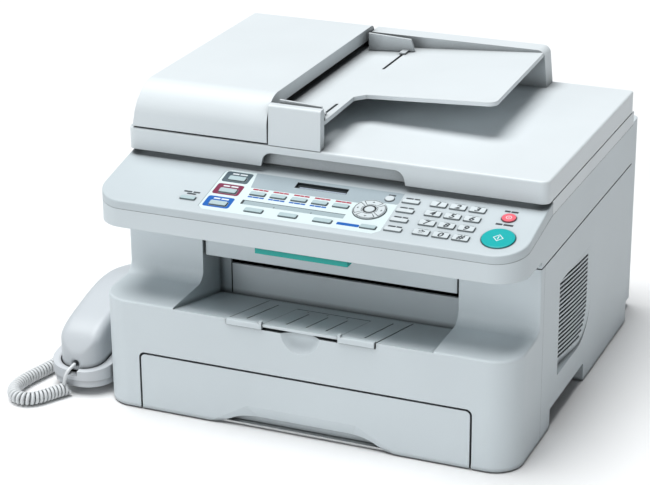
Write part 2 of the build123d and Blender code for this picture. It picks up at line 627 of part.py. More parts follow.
with BuildPart() as paper_cassette:
    block(-cassette_half, cassette_half, front_y, front_y + wall, panel_bottom, cassette_height)
    corners = [e for e in paper_cassette.edges().filter_by(Axis.Y) if e.center().Z > cassette_height - 1]
    fillet(corners, 4.5)
    block(-tub_half, tub_half, front_y + wall, tub_rear_y, tub_bottom_z, tub_height)
    block(-tub_half + wall, tub_half - wall, front_y + 2 * wall + 6, tub_rear_y - wall, floor_top_z,
          tub_height + 1, Mode.SUBTRACT)
    block(-tub_half + wall, tub_half - wall, tub_rear_y - wall - 1, tub_rear_y + 1, tub_height - 9,
          tub_height + 1, Mode.SUBTRACT)
    # finger grip in the bottom edge of the front
    with BuildSketch(Plane.XZ.offset(-front_y - wall - 6)):
        with BuildLine():
            Spline((-scoop_out, -1), (-scoop_in, scoop_mouth_z), tangents=[(1, 0), (1, 0)])
            Line((-scoop_in, scoop_mouth_z), (scoop_in, scoop_mouth_z))
            Spline((scoop_in, scoop_mouth_z), (scoop_out, -1), tangents=[(1, 0), (1, 0)])
            Line((scoop_out, -1), (-scoop_out, -1))
        make_face()
    extrude(amount=wall + 7, mode=Mode.SUBTRACT)
    # slanted face above the grip, fading out at both ends
    with BuildSketch(Plane.XZ.offset(-front_y)):
        with BuildLine():
            Polyline([(-scoop_out, -1), (-scoop_in, scoop_top_z), (scoop_in, scoop_top_z), (scoop_out, -1)],
                     close=True)
        make_face()
    with BuildSketch(Plane.XZ.offset(-front_y - scoop_deep)):
        with BuildLine():
            Polyline([(-scoop_out + 22, -2), (-scoop_in + 8, scoop_mouth_z), (scoop_in - 8, scoop_mouth_z),
                      (scoop_out - 22, -2)], close=True)
        make_face()
    loft(mode=Mode.SUBTRACT)
    for side in (-1, 1):
        x0, x1 = sorted((side * (lift_half + 0.5), side * (lift_half + 4)))
        block(x0, x1, lift_front_y - 4, lift_front_y + 4, floor_top_z, lift_pin_z + 4)
        rod_x(x0 - 1, x1 + 1, lift_front_y, lift_pin_z, 1.5 + fit, Mode.SUBTRACT)
paper_cassette.part.label = "paper_cassette"
export_step(paper_cassette.part, "parts/paper_cassette.step")

with BuildPart() as lift_plate:
    block(-lift_half, lift_half, lift_front_y - 2, tub_rear_y - wall - 8, lift_pin_z - 0.75, lift_pin_z + 0.75)
    rod_x(-lift_half - 3.5, lift_half + 3.5, lift_front_y, lift_pin_z, 1.5)
lift_plate.part.label = "lift_plate"
export_step(lift_plate.part, "parts/lift_plate.step")


def paper_guide(side):
    x0, x1 = sorted((side * guide_x, side * (guide_x + 2.5)))
    block(x0, x1, -60, 60, floor_top_z + seam, tub_height - 4)
    foot0, foot1 = sorted((side * guide_x, side * (guide_x + 22)))
    block(foot0, foot1, -50, 50, floor_top_z + seam, floor_top_z + seam + 2)
    for y in (-40, 40):
        wedge = [(side * (guide_x + 2.5), floor_top_z + 2), (side * (guide_x + 18), floor_top_z + 2),
                 (side * (guide_x + 2.5), floor_top_z + 28)]
        prism_y(wedge, y - 1, y + 1)


with BuildPart() as left_paper_guide:
    paper_guide(-1)
left_paper_guide.part.label = "left_paper_guide"
export_step(left_paper_guide.part, "parts/left_paper_guide.step")

with BuildPart() as right_paper_guide:
    paper_guide(1)
right_paper_guide.part.label = "right_paper_guide"
export_step(right_paper_guide.part, "parts/right_paper_guide.step")

# Output tray in the recess, and its sliding middle. Both are drawn on the sloping floor.
tray_proud = 0.2        # top of the tray above the recess floor
lip_out = 2.0
lip_gap = 1.1           # under the front lips
groove_w, groove_deep = 1.3, 1.3
outer_groove_x = 59.5
extension_groove = 20.0
channel_length = 84.0
lug_w, lug_rise = 2.6, 2.6

with BuildPart() as output_tray:
    plate_half = tray_half - tray_side_gap
    with BuildSketch(tray_plane.offset(tray_proud)):
        with Locations((0, tray_length / 2)):
            Rectangle(2 * plate_half, tray_length)
    extrude(amount=-tray_thick - tray_proud)
    block(-plate_half, plate_half, front_y - lip_out, front_y + wall - seam, lip_bottom_z + lip_gap,
          recess_front_z + tray_proud + 0.6)
    fillet(output_tray.edges().filter_by(Axis.X).group_by(Axis.Y)[0].sort_by(Axis.Z)[-1], 1.5)
    with BuildSketch(tray_plane.offset(-tray_thick - 1)):
        with Locations((0, channel_length / 2 - 10)):
            Rectangle(2 * extension_half + 2 * slide_gap, channel_length + 20)
    extrude(amount=tray_thick + 10, mode=Mode.SUBTRACT)
    channel_half = extension_half + slide_gap
    block(-channel_half, channel_half, front_y - lip_out - 1, front_y + wall, lip_bottom_z - 1, ledge_z + 5,
          Mode.SUBTRACT)
    with BuildSketch(tray_plane.offset(tray_proud)):
        with Locations((-outer_groove_x, tray_length / 2), (outer_groove_x, tray_length / 2)):
            Rectangle(groove_w, tray_length - 26)
    extrude(amount=-groove_deep, mode=Mode.SUBTRACT)
    pair(channel_half, channel_half + lug_w, front_y - lip_out + 0.4, front_y + wall - seam,
         recess_front_z, recess_front_z + tray_proud + lug_rise)
output_tray.part.label = "output_tray"
export_step(output_tray.part, "parts/output_tray.step")

extension_proud = 0.2
hole_r = 1.1
with BuildPart() as tray_extension:
    with BuildSketch(tray_plane.offset(-tray_thick)):
        with Locations((0, (channel_length - slide_gap) / 2 - 1)):
            Rectangle(2 * extension_half, channel_length - slide_gap - 2)
    extrude(amount=tray_thick + extension_proud)
    front_top = tray_extension.edges().filter_by(Axis.X).group_by(Axis.Y)[0].sort_by(Axis.Z)[-1]
    fillet(front_top, 2.0)
    with BuildSketch(tray_plane.offset(extension_proud)):
        with Locations(*[(i * extension_groove, channel_length / 2) for i in (-1, 0, 1)]):
            Rectangle(groove_w, channel_length - 30)
        with Locations(*[(i * extension_groove - 4, channel_length - 7) for i in (-1, 0, 1)]):
            Circle(hole_r)
    extrude(amount=-groove_deep, mode=Mode.SUBTRACT)
tray_extension.part.label = "tray_extension"
export_step(tray_extension.part, "parts/tray_extension.step")

# Scanner base: open tub under the panel and the glass, with the front skirt.
slope = tan(radians(panel_slope))
seam_slope = (scanner_seam_z - panel_seam_z) / (scanner_front_y - panel_front_y)
top_half = half - 0.2
left_over = 4.5         # the top unit stands out past the body on the left
top_left = -top_half - left_over
lid_hinge_x = 150.0
lid_hinge_y, lid_hinge_z = 166.0, 244.0
ear = 3.6
ear_r = 3.7
lever_half = 46.0
lever_front_y = panel_front_y + 2.0
lever_axis_y, lever_axis_z = -187.0, 182.6
lever_pin_r = 1.5

with BuildPart() as scanner_base:
    prism_x([(panel_front_y, panel_bottom_z), (panel_front_y, panel_seam_z),
             (scanner_front_y, scanner_seam_z - seam), (scanner_rear_y, scanner_seam_z - seam),
             (scanner_rear_y, top_bottom_z), (tower_y, top_bottom_z), (tower_y, panel_bottom_z)],
            top_left, top_half)
    fillet(vertical_edges(panel_front_y - 1, panel_front_y + 1), panel_corner_r)
    inner = top_half - wall
    inner_left = top_left + wall
    with BuildSketch(Plane.XY.offset(panel_bottom_z + skin)):
        with BuildLine():
            Polyline([(inner_left, panel_front_y + wall), (inner, panel_front_y + wall),
                      (inner, scanner_rear_y - wall), (inner_left, scanner_rear_y - wall)], close=True)
        make_face()
        fillet(vertices().group_by(Axis.Y)[0], panel_corner_r - wall)
    extrude(amount=60, mode=Mode.SUBTRACT)
    block(inner_left, inner, tower_y + wall, scanner_rear_y - wall, top_bottom_z + skin, panel_bottom_z + 10,
          Mode.SUBTRACT)
    block(-skirt_half, skirt_half, tower_y + 2.4, tower_y + 2.4 + wall, skirt_bottom_z, top_bottom_z)
    for side in (-1, 1):
        for inside in (-1, 1):
            x0, x1 = sorted((side * hinge_x + inside * (hinge_half + seam),
                             side * hinge_x + inside * (hinge_half + seam + ear)))
            block(x0, x1, scanner_rear_y - wall, hinge_y, hinge_z - ear_r, hinge_z + ear_r)
            rod_x(x0, x1, hinge_y, hinge_z, ear_r)
    rod_x(-half, half, hinge_y, hinge_z, hinge_pin_r + fit, Mode.SUBTRACT)
    # ears and pins of the opening lever, under the panel
    for side in (-1, 1):
        x0, x1 = sorted((side * (lever_half + seam), side * (lever_half + seam + wall)))
        block(x0, x1, lever_axis_y - 3, lever_axis_y + 4, lever_axis_z - 3, panel_bottom_z)
        pin0, pin1 = sorted((side * (lever_half - 4), side * (lever_half + 1)))
        rod_x(pin0, pin1, lever_axis_y, lever_axis_z, lever_pin_r)
    # rail that carries the scan carriage
    block(inner_left, inner, 20, 28, top_bottom_z + skin, top_bottom_z + skin + 8)
scanner_base.part.label = "scanner_base"
export_step(scanner_base.part, "parts/scanner_base.step")

with BuildPart() as open_lever:
    prism_x([(lever_front_y, panel_bottom_z - 6.2), (lever_front_y, panel_bottom_z - 0.8),
             (lever_axis_y + 2, panel_bottom_z - 0.8), (lever_axis_y + 3, lever_axis_z - 1.5),
             (lever_axis_y + 1, lever_axis_z - 2.5), (lever_front_y + 5, panel_bottom_z - 6.2)],
            -lever_half, lever_half)
    rod_x(-lever_half - 1, -lever_half + 5, lever_axis_y, lever_axis_z, lever_pin_r + fit, Mode.SUBTRACT)
    rod_x(lever_half - 5, lever_half + 1, lever_axis_y, lever_axis_z, lever_pin_r + fit, Mode.SUBTRACT)
open_lever.part.label = "open_lever"
export_step(open_lever.part, "parts/open_lever.step")

# Keys on the sloping panel: name, centre and size along the panel. Each cap stands through a
# hole and is held from below by a flange.
panel_plane = Plane(origin=(0, panel_front_y, panel_front_z), x_dir=(1, 0, 0),
                    z_dir=(0, -sin(radians(panel_slope)), cos(radians(panel_slope))))
panel_normal = Axis(panel_plane.origin, panel_plane.z_dir)
pad_x, pad_y = half - 80.8, 42.8
pad_pitch_x, pad_pitch_y = 18.7, 15.7
pad_w, pad_h = 14.6, 7.6
digit_names = ["1", "2", "3", "4", "5", "6", "7", "8", "9", "star", "0", "hash"]
start_x, start_y, start_r = half - 29.6, 27.1, 15.3
stop_x, stop_y, stop_r = half - 30.7, 60.7, 6.5
mode_x, mode_w, mode_h = -90.0, 17.0, 6.6
mode_rows = [18.8, 40.8, 62.3]
row_x, row_y, row_pitch = -18.4, 42.5, 20.9
row_w, row_h = 14.8, 5.0
low_x, low_y, low_pitch = -18.2, 15.4, 34.4
low_w, low_h = 17.6, 5.4
column_x, column_y, column_pitch = pad_x - 45.2, 41.2, 15.7
column_w, column_h = 16.0, 5.2
quick_x, quick_y = -122.2, 20.6
ok_x, ok_y = 60.6, 16.0
round_x, round_y, round_r = 63.1, 64.7, 4.2
nav_x, nav_y, nav_r, nav_hole_r, nav_set_r = 51.7, 42.9, 15.4, 6.6, 5.2
lcd_x, lcd_y, lcd_w, lcd_h = -5.4, 66.6, 52.0, 9.6
cap_rise = 1.3
key_travel = 1.0
flange_out = 0.9
flange_thick = 1.4
flange_drop = skin + seam

small_keys = [(mode_x, y, mode_w, mode_h) for y in mode_rows]
small_keys += [(row_x + row_pitch * i, row_y, row_w, row_h) for i in (-2, -1, 0, 1, 2)]
small_keys += [(low_x + low_pitch * i, low_y, low_w, low_h) for i in (-1, 0, 1)]
small_keys += [(column_x, column_y + column_pitch * i, column_w, column_h) for i in (-1.5, -0.5, 0.5, 1.5)]
small_keys += [(quick_x, quick_y, row_w, row_h), (ok_x, ok_y, row_w, row_h)]


def key_shape(w, h, grow=0.0):
    RectangleRounded(w + 2 * grow, h + 2 * grow, 1.2 + grow / 2)


def key_cap(x, y, w, h):
    with BuildSketch(panel_plane.offset(-flange_drop)) as cap:
        with Locations((x, y)):
            key_shape(w, h)
    extrude(cap.sketch, amount=flange_drop + cap_rise)
    with BuildSketch(panel_plane.offset(-flange_drop - flange_thick)) as foot:
        with Locations((x, y)):
            key_shape(w, h, flange_out)
    extrude(foot.sketch, amount=flange_thick)


def round_cap(x, y, r):
    rod(panel_plane.offset(-flange_drop), (x, y), r, flange_drop + cap_rise)
    rod(panel_plane.offset(-flange_drop - flange_thick), (x, y), r + flange_out, flange_thick)


digit_spots = []
for row in range(4):
    for column in range(3):
        digit_spots.append((pad_x + pad_pitch_x * (column - 1), pad_y + pad_pitch_y * (1.5 - row)))

with BuildPart() as panel_cover:
    cover_seam_z = panel_seam_z + seam
    back_y = scanner_front_y - seam
    back_low_z = cover_seam_z + seam_slope * (back_y - panel_front_y)
    back_high_z = panel_front_z + slope * (back_y - panel_front_y)
    prism_x([(panel_front_y, cover_seam_z), (panel_front_y, panel_front_z), (back_y, back_high_z),
             (back_y, back_low_z)], top_left, top_half)
    fillet(vertical_edges(panel_front_y - 1, panel_front_y + 1), panel_corner_r)
    top_rim = panel_cover.faces().sort_by(panel_normal)[-1].edges()
    fillet([e for e in top_rim if e.center().Y < back_y - 1], 1.6)
    with BuildSketch(panel_plane.offset(-skin)):
        with BuildLine():
            Polyline([(inner_left, wall), (inner, wall), (inner, 120), (inner_left, 120)], close=True)
        make_face()
        fillet(vertices().group_by(Axis.Y)[0], panel_corner_r - wall)
    extrude(amount=-40, mode=Mode.SUBTRACT)
    block(top_left, top_half, back_y - wall, back_y, back_low_z, back_high_z - skin)
    with BuildSketch(panel_plane):
        for x, y, w, h in small_keys:
            with Locations((x, y)):
                key_shape(w, h, slide_gap)
        with Locations(*digit_spots):
            key_shape(pad_w, pad_h, slide_gap)
        for x, y, r in [(start_x, start_y, start_r), (stop_x, stop_y, stop_r), (round_x, round_y, round_r),
                        (nav_x, nav_y, nav_r)]:
            with Locations((x, y)):
                Circle(r + slide_gap)
        with Locations((lcd_x, lcd_y)):
            Rectangle(lcd_w, lcd_h)
    extrude(amount=-skin - 2, mode=Mode.SUBTRACT)
panel_cover.part.label = "panel_cover"
export_step(panel_cover.part, "parts/panel_cover.step")

for digit, (x, y) in zip(digit_names, digit_spots):
    with BuildPart() as key:
        key_cap(x, y, pad_w, pad_h)
    key.part.label = f"key_{digit}"
    export_step(key.part, f"parts/key_{digit}.step")

with BuildPart() as start_key:
    round_cap(start_x, start_y, start_r)
    fillet(start_key.faces().sort_by(panel_normal)[-1].edges(), 0.8)
start_key.part.label = "start_key"
export_step(start_key.part, "parts/start_key.step")

with BuildPart() as stop_key:
    round_cap(stop_x, stop_y, stop_r)
stop_key.part.label = "stop_key"
export_step(stop_key.part, "parts/stop_key.step")

with BuildPart() as function_keys:
    for x, y, w, h in small_keys:
        key_cap(x, y, w, h)
    round_cap(round_x, round_y, round_r)
    round_cap(nav_x, nav_y, nav_r)
    with BuildSketch(panel_plane.offset(cap_rise + 1)):
        with Locations((nav_x, nav_y)):
            Circle(nav_hole_r)
            Circle(nav_set_r, mode=Mode.SUBTRACT)
    extrude(amount=-cap_rise - flange_drop, mode=Mode.SUBTRACT)
function_keys.part.label = "function_keys"
export_step(function_keys.part, "parts/function_keys.step")

with BuildPart() as lcd_window:
    with BuildSketch(panel_plane.offset(-skin - seam - 1.5)):
        with Locations((lcd_x, lcd_y)):
            Rectangle(lcd_w + 6, lcd_h + 4)
    extrude(amount=1.5)
lcd_window.part.label = "lcd_window"
export_step(lcd_window.part, "parts/lcd_window.step")

# Scanner top frame, glass and carriage
strip_left = -half + 18.0
strip_right = strip_left + 16.0
glass_left, glass_right = strip_right + 11.0, half - 70.0
glass_front_y, glass_rear_y = -92.0, 130.0
glass_thick = 3.0
glass_top_z = scanner_top_z - 0.4
ledge_in = 4.0

with BuildPart() as scanner_top:
    block(top_left, top_half, scanner_front_y, scanner_rear_y, scanner_seam_z, scanner_top_z)
    block(inner_left, inner, scanner_front_y + wall, scanner_rear_y - wall, scanner_seam_z - 1,
          glass_top_z - glass_thick - 2.5, Mode.SUBTRACT)
    for x0, x1 in [(glass_left, glass_right), (strip_left, strip_right)]:
        block(x0, x1, glass_front_y, glass_rear_y, glass_top_z - glass_thick, scanner_top_z + 1, Mode.SUBTRACT)
        block(x0 + ledge_in, x1 - ledge_in, glass_front_y + ledge_in, glass_rear_y - ledge_in,
              scanner_seam_z, scanner_top_z, Mode.SUBTRACT)
    for side in (-1, 1):
        for inside in (-1, 1):
            x0, x1 = sorted((side * lid_hinge_x + inside * (8 + seam), side * lid_hinge_x + inside * (8 + ear)))
            block(x0, x1, scanner_rear_y - wall, lid_hinge_y + 6, scanner_seam_z, lid_hinge_z)
            rod_x(x0, x1, lid_hinge_y, lid_hinge_z, 6)
            block(x0, x1, lid_rear_y + 1.2, scanner_rear_y, scanner_top_z, lid_hinge_z)
        rod_x(side * lid_hinge_x - 9, side * lid_hinge_x + 9, lid_hinge_y, lid_hinge_z, shaft_r)
scanner_top.part.label = "scanner_top"
export_step(scanner_top.part, "parts/scanner_top.step")

with BuildPart() as platen_glass:
    for x0, x1 in [(glass_left, glass_right), (strip_left, strip_right)]:
        block(x0 + seam, x1 - seam, glass_front_y + seam, glass_rear_y - seam, glass_top_z - glass_thick,
              glass_top_z)
platen_glass.part.label = "platen_glass"
export_step(platen_glass.part, "parts/platen_glass.step")

carriage_bottom_z = top_bottom_z + skin + 8 + seam
carriage_top_z = glass_top_z - glass_thick - 7.4
with BuildPart() as scan_carriage:
    left, right = strip_left - 6, strip_right + 10
    block(left, right, glass_front_y, glass_rear_y, carriage_bottom_z, carriage_top_z)
    block(left + 4, right - 4, glass_front_y + 4, glass_rear_y - 4, carriage_bottom_z + 7, carriage_top_z + 1,
          Mode.SUBTRACT)
    middle = (left + right) / 2
    block(middle - 4, middle, glass_front_y + 4, glass_rear_y - 4, carriage_bottom_z + 13,
          carriage_bottom_z + 17)
scan_carriage.part.label = "scan_carriage"
export_step(scan_carriage.part, "parts/scan_carriage.step")

# Document cover
lid_half = half - 0.2
lid_left = top_left
lid_corner_r = 8.0
notch_half = 70.0
notch_slant = 3.0
notch_r = 10.0
notch_height = 14.0
pad_thick = 6.0

with BuildPart() as lid_plate:
    block(lid_left, lid_half, lid_front_y, lid_rear_y, lid_bottom_z, lid_top_z)
    fillet(vertical_edges(lid_front_y - 1, lid_front_y + 1), lid_corner_r)
    fillet(vertical_edges(lid_rear_y - 1, lid_rear_y + 1), 4)
    fillet(lid_plate.faces().sort_by(Axis.Z)[-1].edges(), 2.0)
    block(lid_left + wall, lid_half - wall, lid_front_y + wall + 9, lid_rear_y - wall, lid_bottom_z - 1,
          lid_top_z - wall, Mode.SUBTRACT)
    block(lid_left + 12, lid_half - 12, lid_front_y + wall, lid_front_y + 20, lid_bottom_z - 1, lid_top_z - wall,
          Mode.SUBTRACT)
    for i in (-2, -1, 0, 1, 2):
        x = i * lid_half / 3 - 20
        block(x - 1.5, x + 1.5, lid_front_y + wall, lid_rear_y - wall, lid_bottom_z + pad_thick, lid_top_z - wall)
    with BuildSketch(Plane.XZ.offset(-lid_front_y - 10)) as notch:
        with BuildLine():
            Polyline([(-notch_half - notch_slant, lid_bottom_z - 1), (-notch_half, lid_bottom_z + notch_height),
                      (notch_half, lid_bottom_z + notch_height), (notch_half + notch_slant, lid_bottom_z - 1)],
                     close=True)
        make_face()
        fillet(notch.vertices().group_by(Axis.Y)[-1], notch_r)
    extrude(amount=11, mode=Mode.SUBTRACT)
    block(-notch_half - 10, notch_half + 10, lid_front_y + 10, lid_front_y + 13, lid_bottom_z, lid_top_z - wall)
    for side in (-1, 1):
        ear_x = side * lid_hinge_x
        block(ear_x - 8, ear_x + 8, lid_rear_y - wall, lid_hinge_y, lid_hinge_z - 5, lid_hinge_z + 5)
        rod_x(ear_x - 8, ear_x + 8, lid_hinge_y, lid_hinge_z, 5)
    rod_x(lid_left, lid_half, lid_hinge_y, lid_hinge_z, shaft_r + fit, Mode.SUBTRACT)
lid_plate.part.label = "lid_plate"
export_step(lid_plate.part, "parts/lid_plate.step")

with BuildPart() as platen_pad:
    block(strip_left - 6, glass_right + 6, glass_front_y - 4, glass_rear_y + 4, glass_top_z + 0.5,
          lid_bottom_z + pad_thick)
platen_pad.part.label = "platen_pad"
export_step(platen_pad.part, "parts/platen_pad.step")

# Document feeder
feeder_base_z = lid_top_z
cover_low_z = lid_top_z + 1.4
inlet_low_z = 289.0
slant = 8.5
feeder_front_r = 28.0
cover_pin_x, cover_pin_z = feeder_left + 3.0, lid_top_z + 4.0
cover_pin_r = 1.4
pin_ring_r = 2.6
body_top_z = 275.0
pin_length = 10.0       # of the cover's two hinge pins
feeder_rear_r = 8.0


def feeder_block(inset, z_low):
    left, right = feeder_left + inset, feeder_right - inset
    top = feeder_top_z - inset
    with BuildSketch(Plane.YZ.offset(left)) as side:
        with Locations(((lid_front_y + feeder_rear_y) / 2, (z_low + top) / 2)):
            Rectangle(feeder_rear_y - lid_front_y - 2 * inset, top - z_low)
        upper = side.vertices().group_by(Axis.Y)[-1].sort_by(Axis.X)
        fillet(upper[0], feeder_front_r - inset)
        fillet(side.vertices().group_by(Axis.Y)[-1].sort_by(Axis.X)[-1], feeder_rear_r - inset)
    extrude(side.sketch, amount=right - left)
    wedge_slope = slant / (feeder_top_z - cover_low_z)
    prism_y([(left - 1, z_low), (left, z_low), (left + wedge_slope * (top - z_low), top), (left - 1, top)],
            lid_front_y, feeder_rear_y, Mode.SUBTRACT)


with BuildPart() as feeder_hollow:
    feeder_block(wall, cover_low_z - 1)

with BuildPart() as adf_cover:
    feeder_block(0, cover_low_z)
    add(feeder_hollow.part, mode=Mode.SUBTRACT)
    for y0 in (lid_front_y + wall, feeder_rear_y - wall - pin_length - 1):
        block(feeder_left - 1, feeder_left + wall + 3, y0, y0 + pin_length + 1, cover_low_z - 1,
              cover_pin_z + pin_ring_r + 1, Mode.SUBTRACT)
    rod_y(lid_front_y + 1, lid_front_y + wall + pin_length, cover_pin_x, cover_pin_z, cover_pin_r)
    rod_y(feeder_rear_y - wall - pin_length, feeder_rear_y - 1, cover_pin_x, cover_pin_z, cover_pin_r)
    block(feeder_right - wall - 1, feeder_right + 1, lid_front_y + wall, feeder_rear_y - wall,
          cover_low_z - 1, body_top_z + 1.2, Mode.SUBTRACT)
    block(feeder_right - wall - 1, feeder_right + 1, lid_front_y + 10, feeder_rear_y - wall,
          body_top_z, inlet_low_z, Mode.SUBTRACT)
adf_cover.part.label = "adf_cover"
export_step(adf_cover.part, "parts/adf_cover.step")

feed_x, feed_z = -92.0, 287.0
block_left, block_right = feeder_right + 1.2, -12.0
block_top_z = 297.0
block_lean = 2.0
rail_front_y = 133.0
rail_top_z = 296.5
rail_end_r = 8.0
rail_end_x = 124.0
feed_r = 8.0
roller_front_y, roller_rear_y = -106.0, 128.0
doc_tray_thick = 4.0
tray_plane_slope = (tray_right_z - tray_left_z) / (tray_end_x - feeder_right)


def tray_z(x):
    return tray_left_z + tray_plane_slope * (x - feeder_right)


with BuildPart() as adf_base:
    body_left, body_right = feeder_left + 9, feeder_right - 4
    body_front, body_rear = lid_front_y + wall + 2, feeder_rear_y - wall - 2
    prism_y([(body_left, feeder_base_z), (body_left + 3, body_top_z), (body_left + 30, body_top_z + 5),
             (feed_x - 18, body_top_z + 1), (body_right, body_top_z), (body_right, feeder_base_z)],
            body_front, body_rear)
    block(body_left + 4, body_right - 4, body_front + 4, body_rear - 4, feeder_base_z - 1, body_top_z - 4,
          Mode.SUBTRACT)
    block(body_right - 5, body_right + 1, body_front + 14, body_rear - 14, feeder_base_z + 4,
          body_top_z - 7, Mode.SUBTRACT)
    for y0 in (roller_front_y, roller_rear_y - 4):
        block(feed_x - 7, feed_x + 7, y0, y0 + 4, body_top_z - 1, feed_z + 6)
    # rings that the cover's hinge pins turn in
    for y0 in (body_front, body_rear - pin_length + 2):
        block(cover_pin_x, body_left + 1, y0, y0 + pin_length - 2, cover_pin_z - pin_ring_r,
              cover_pin_z + pin_ring_r)
        rod_y(y0, y0 + pin_length - 2, cover_pin_x, cover_pin_z, pin_ring_r)
    rod_y(body_front - 1, body_rear + 1, cover_pin_x, cover_pin_z, cover_pin_r + fit, Mode.SUBTRACT)
    rod_y(roller_front_y - 1, roller_rear_y + 1, feed_x, feed_z, shaft_r + fit, Mode.SUBTRACT)
    # front block beside the cover
    prism_x([(lid_front_y, feeder_base_z), (lid_front_y + block_lean, block_top_z),
             (lid_front_y + 10, block_top_z), (lid_front_y + 10, feeder_base_z)], block_left, block_right)
    block(body_right, block_right, lid_front_y + 3.4, lid_front_y + 10, feeder_base_z, body_top_z)
    fillet([e for e in adf_base.edges().filter_by(Axis.X)
            if e.center().Y < lid_front_y + block_lean + 0.1 and e.center().Z > block_top_z - 0.1], 2.0)
    # rear rail that carries the document tray
    rail_left = feeder_right + slide_gap
    with BuildSketch(Plane.XZ.offset(-lid_rear_y)) as rail_side:
        with BuildLine():
            Polyline([(rail_left, feeder_base_z), (rail_left, rail_top_z), (rail_end_x - 2.5, rail_top_z),
                      (rail_end_x + 1, feeder_base_z)], close=True)
        make_face()
        fillet(rail_side.vertices().group_by(Axis.Y)[-1].sort_by(Axis.X)[-1], rail_end_r)
    extrude(amount=lid_rear_y - rail_front_y)
    fillet([e for e in adf_base.edges().filter_by(Axis.X) if e.center().Y > lid_rear_y - 0.1
            and e.center().Z > rail_top_z - 0.1], 3.5)
    block(rail_left + 4, rail_end_x - rail_end_r - 2, rail_front_y + wall, lid_rear_y - wall, feeder_base_z - 1,
          rail_top_z - wall, Mode.SUBTRACT)
    block(body_right - 1, rail_left + 1, rail_front_y, body_rear, feeder_base_z, body_top_z)
adf_base.part.label = "adf_base"
export_step(adf_base.part, "parts/adf_base.step")

with BuildPart() as feed_roller:
    rod_y(roller_front_y, roller_rear_y, feed_x, feed_z, shaft_r)
    rod_y(-22, 22, feed_x, feed_z, feed_r)
    for y in (-80, 80):
        rod_y(y - 8, y + 8, feed_x, feed_z, feed_r)
feed_roller.part.label = "feed_roller"
export_step(feed_roller.part, "parts/feed_roller.step")

wing_front_y = -34.0
wing_left_x = -14.0
wing_slant = 6.0
doc_tray_left = feeder_right - 12
slot_front = (-110.0, -66.0)
slot_rear = (52.0, 114.0)
guide_slot_x = -21.0
tray_tilt = degrees(atan2(tray_right_z - tray_left_z, tray_end_x - feeder_right))
doc_plane = Plane(origin=(feeder_right, 0, tray_left_z),
                  x_dir=(cos(radians(tray_tilt)), 0, sin(radians(tray_tilt))),
                  z_dir=(-sin(radians(tray_tilt)), 0, cos(radians(tray_tilt))))
with BuildPart() as document_tray:
    near = lid_front_y + 10 + seam
    back = rail_front_y - seam
    with BuildSketch(doc_plane):
        with BuildLine():
            Polyline([(doc_tray_left - feeder_right, near), (block_right - feeder_right, near),
                      (wing_left_x - feeder_right, wing_front_y - 9),
                      (wing_left_x + 10 - feeder_right, wing_front_y),
                      (tray_end_x - feeder_right, wing_front_y - wing_slant),
                      (tray_end_x - 7.5 - feeder_right, back), (doc_tray_left - feeder_right, back)], close=True)
        make_face()
        fillet(vertices().sort_by(Axis.X)[-1], 8)
    extrude(amount=-doc_tray_thick)
    with BuildSketch(doc_plane):
        for y0, y1 in (slot_front, slot_rear):
            with Locations((guide_slot_x - feeder_right, (y0 + y1) / 2)):
                SlotOverall(y1 - y0, 3.0, rotation=90)
    extrude(amount=-doc_tray_thick - 1, both=True, mode=Mode.SUBTRACT)
document_tray.part.label = "document_tray"
export_step(document_tray.part, "parts/document_tray.step")

guide_thick = 2.4
fin_left, fin_right = -58.0, -11.5
fin_left_z, fin_right_z = 300.0, 298.0
foot_half = 3.2
guide_y = 108.0


def document_guide(y0, y1, slot_y, left):
    lower = tray_z(left) + seam + 0.3
    prism_y([(left, lower), (fin_right - 14, tray_z(fin_right - 14) + seam + 0.3),
             (fin_right, tray_z(fin_right) + seam + 0.3), (fin_right - 4, fin_right_z), (left, fin_left_z)], y0, y1)
    stem_x0, stem_x1 = guide_slot_x - 1.2, guide_slot_x + 1.2
    foot_z = tray_z(guide_slot_x) + seam + 0.4
    block(guide_slot_x - foot_half, guide_slot_x + foot_half, min(y0, slot_y - 4), max(y1, slot_y + 4), foot_z, foot_z + 1.6)
    block(stem_x0, stem_x1, slot_y - 3, slot_y + 3, foot_z - doc_tray_thick - 3.0, foot_z)
    block(stem_x0 - 2, stem_x1 + 2, slot_y - 3, slot_y + 3, foot_z - doc_tray_thick - 4.0,
          foot_z - doc_tray_thick - 2.4)


with BuildPart() as front_document_guide:
    document_guide(-guide_y - 11.0, -guide_y - 11.0 + guide_thick, slot_front[0] + 5, fin_left)
front_document_guide.part.label = "front_document_guide"
export_step(front_document_guide.part, "parts/front_document_guide.step")

with BuildPart() as rear_document_guide:
    document_guide(guide_y + 8.0, guide_y + 8.0 + guide_thick, slot_rear[1] - 5, fin_left - 4)
rear_document_guide.part.label = "rear_document_guide"
export_step(rear_document_guide.part, "parts/rear_document_guide.step")

# Handset cradle, handset, hook switch and curly cord
cup_gap = 1.2
mouth_cup = (handset_front_y - cup_gap, -124.0)
ear_cup = (-70.0, handset_rear_y + cup_gap)
hook_y = -24.0
hook_half = 4.0
hook_travel = 4.0
hook_low_z = 14.0
cup_corner_r = 21.0

rim_front_z = 25.0
cradle_step_z = 15.5
cradle_low_z = 8.0
cradle_inset = 2.0
cradle_hook_z = 9.0

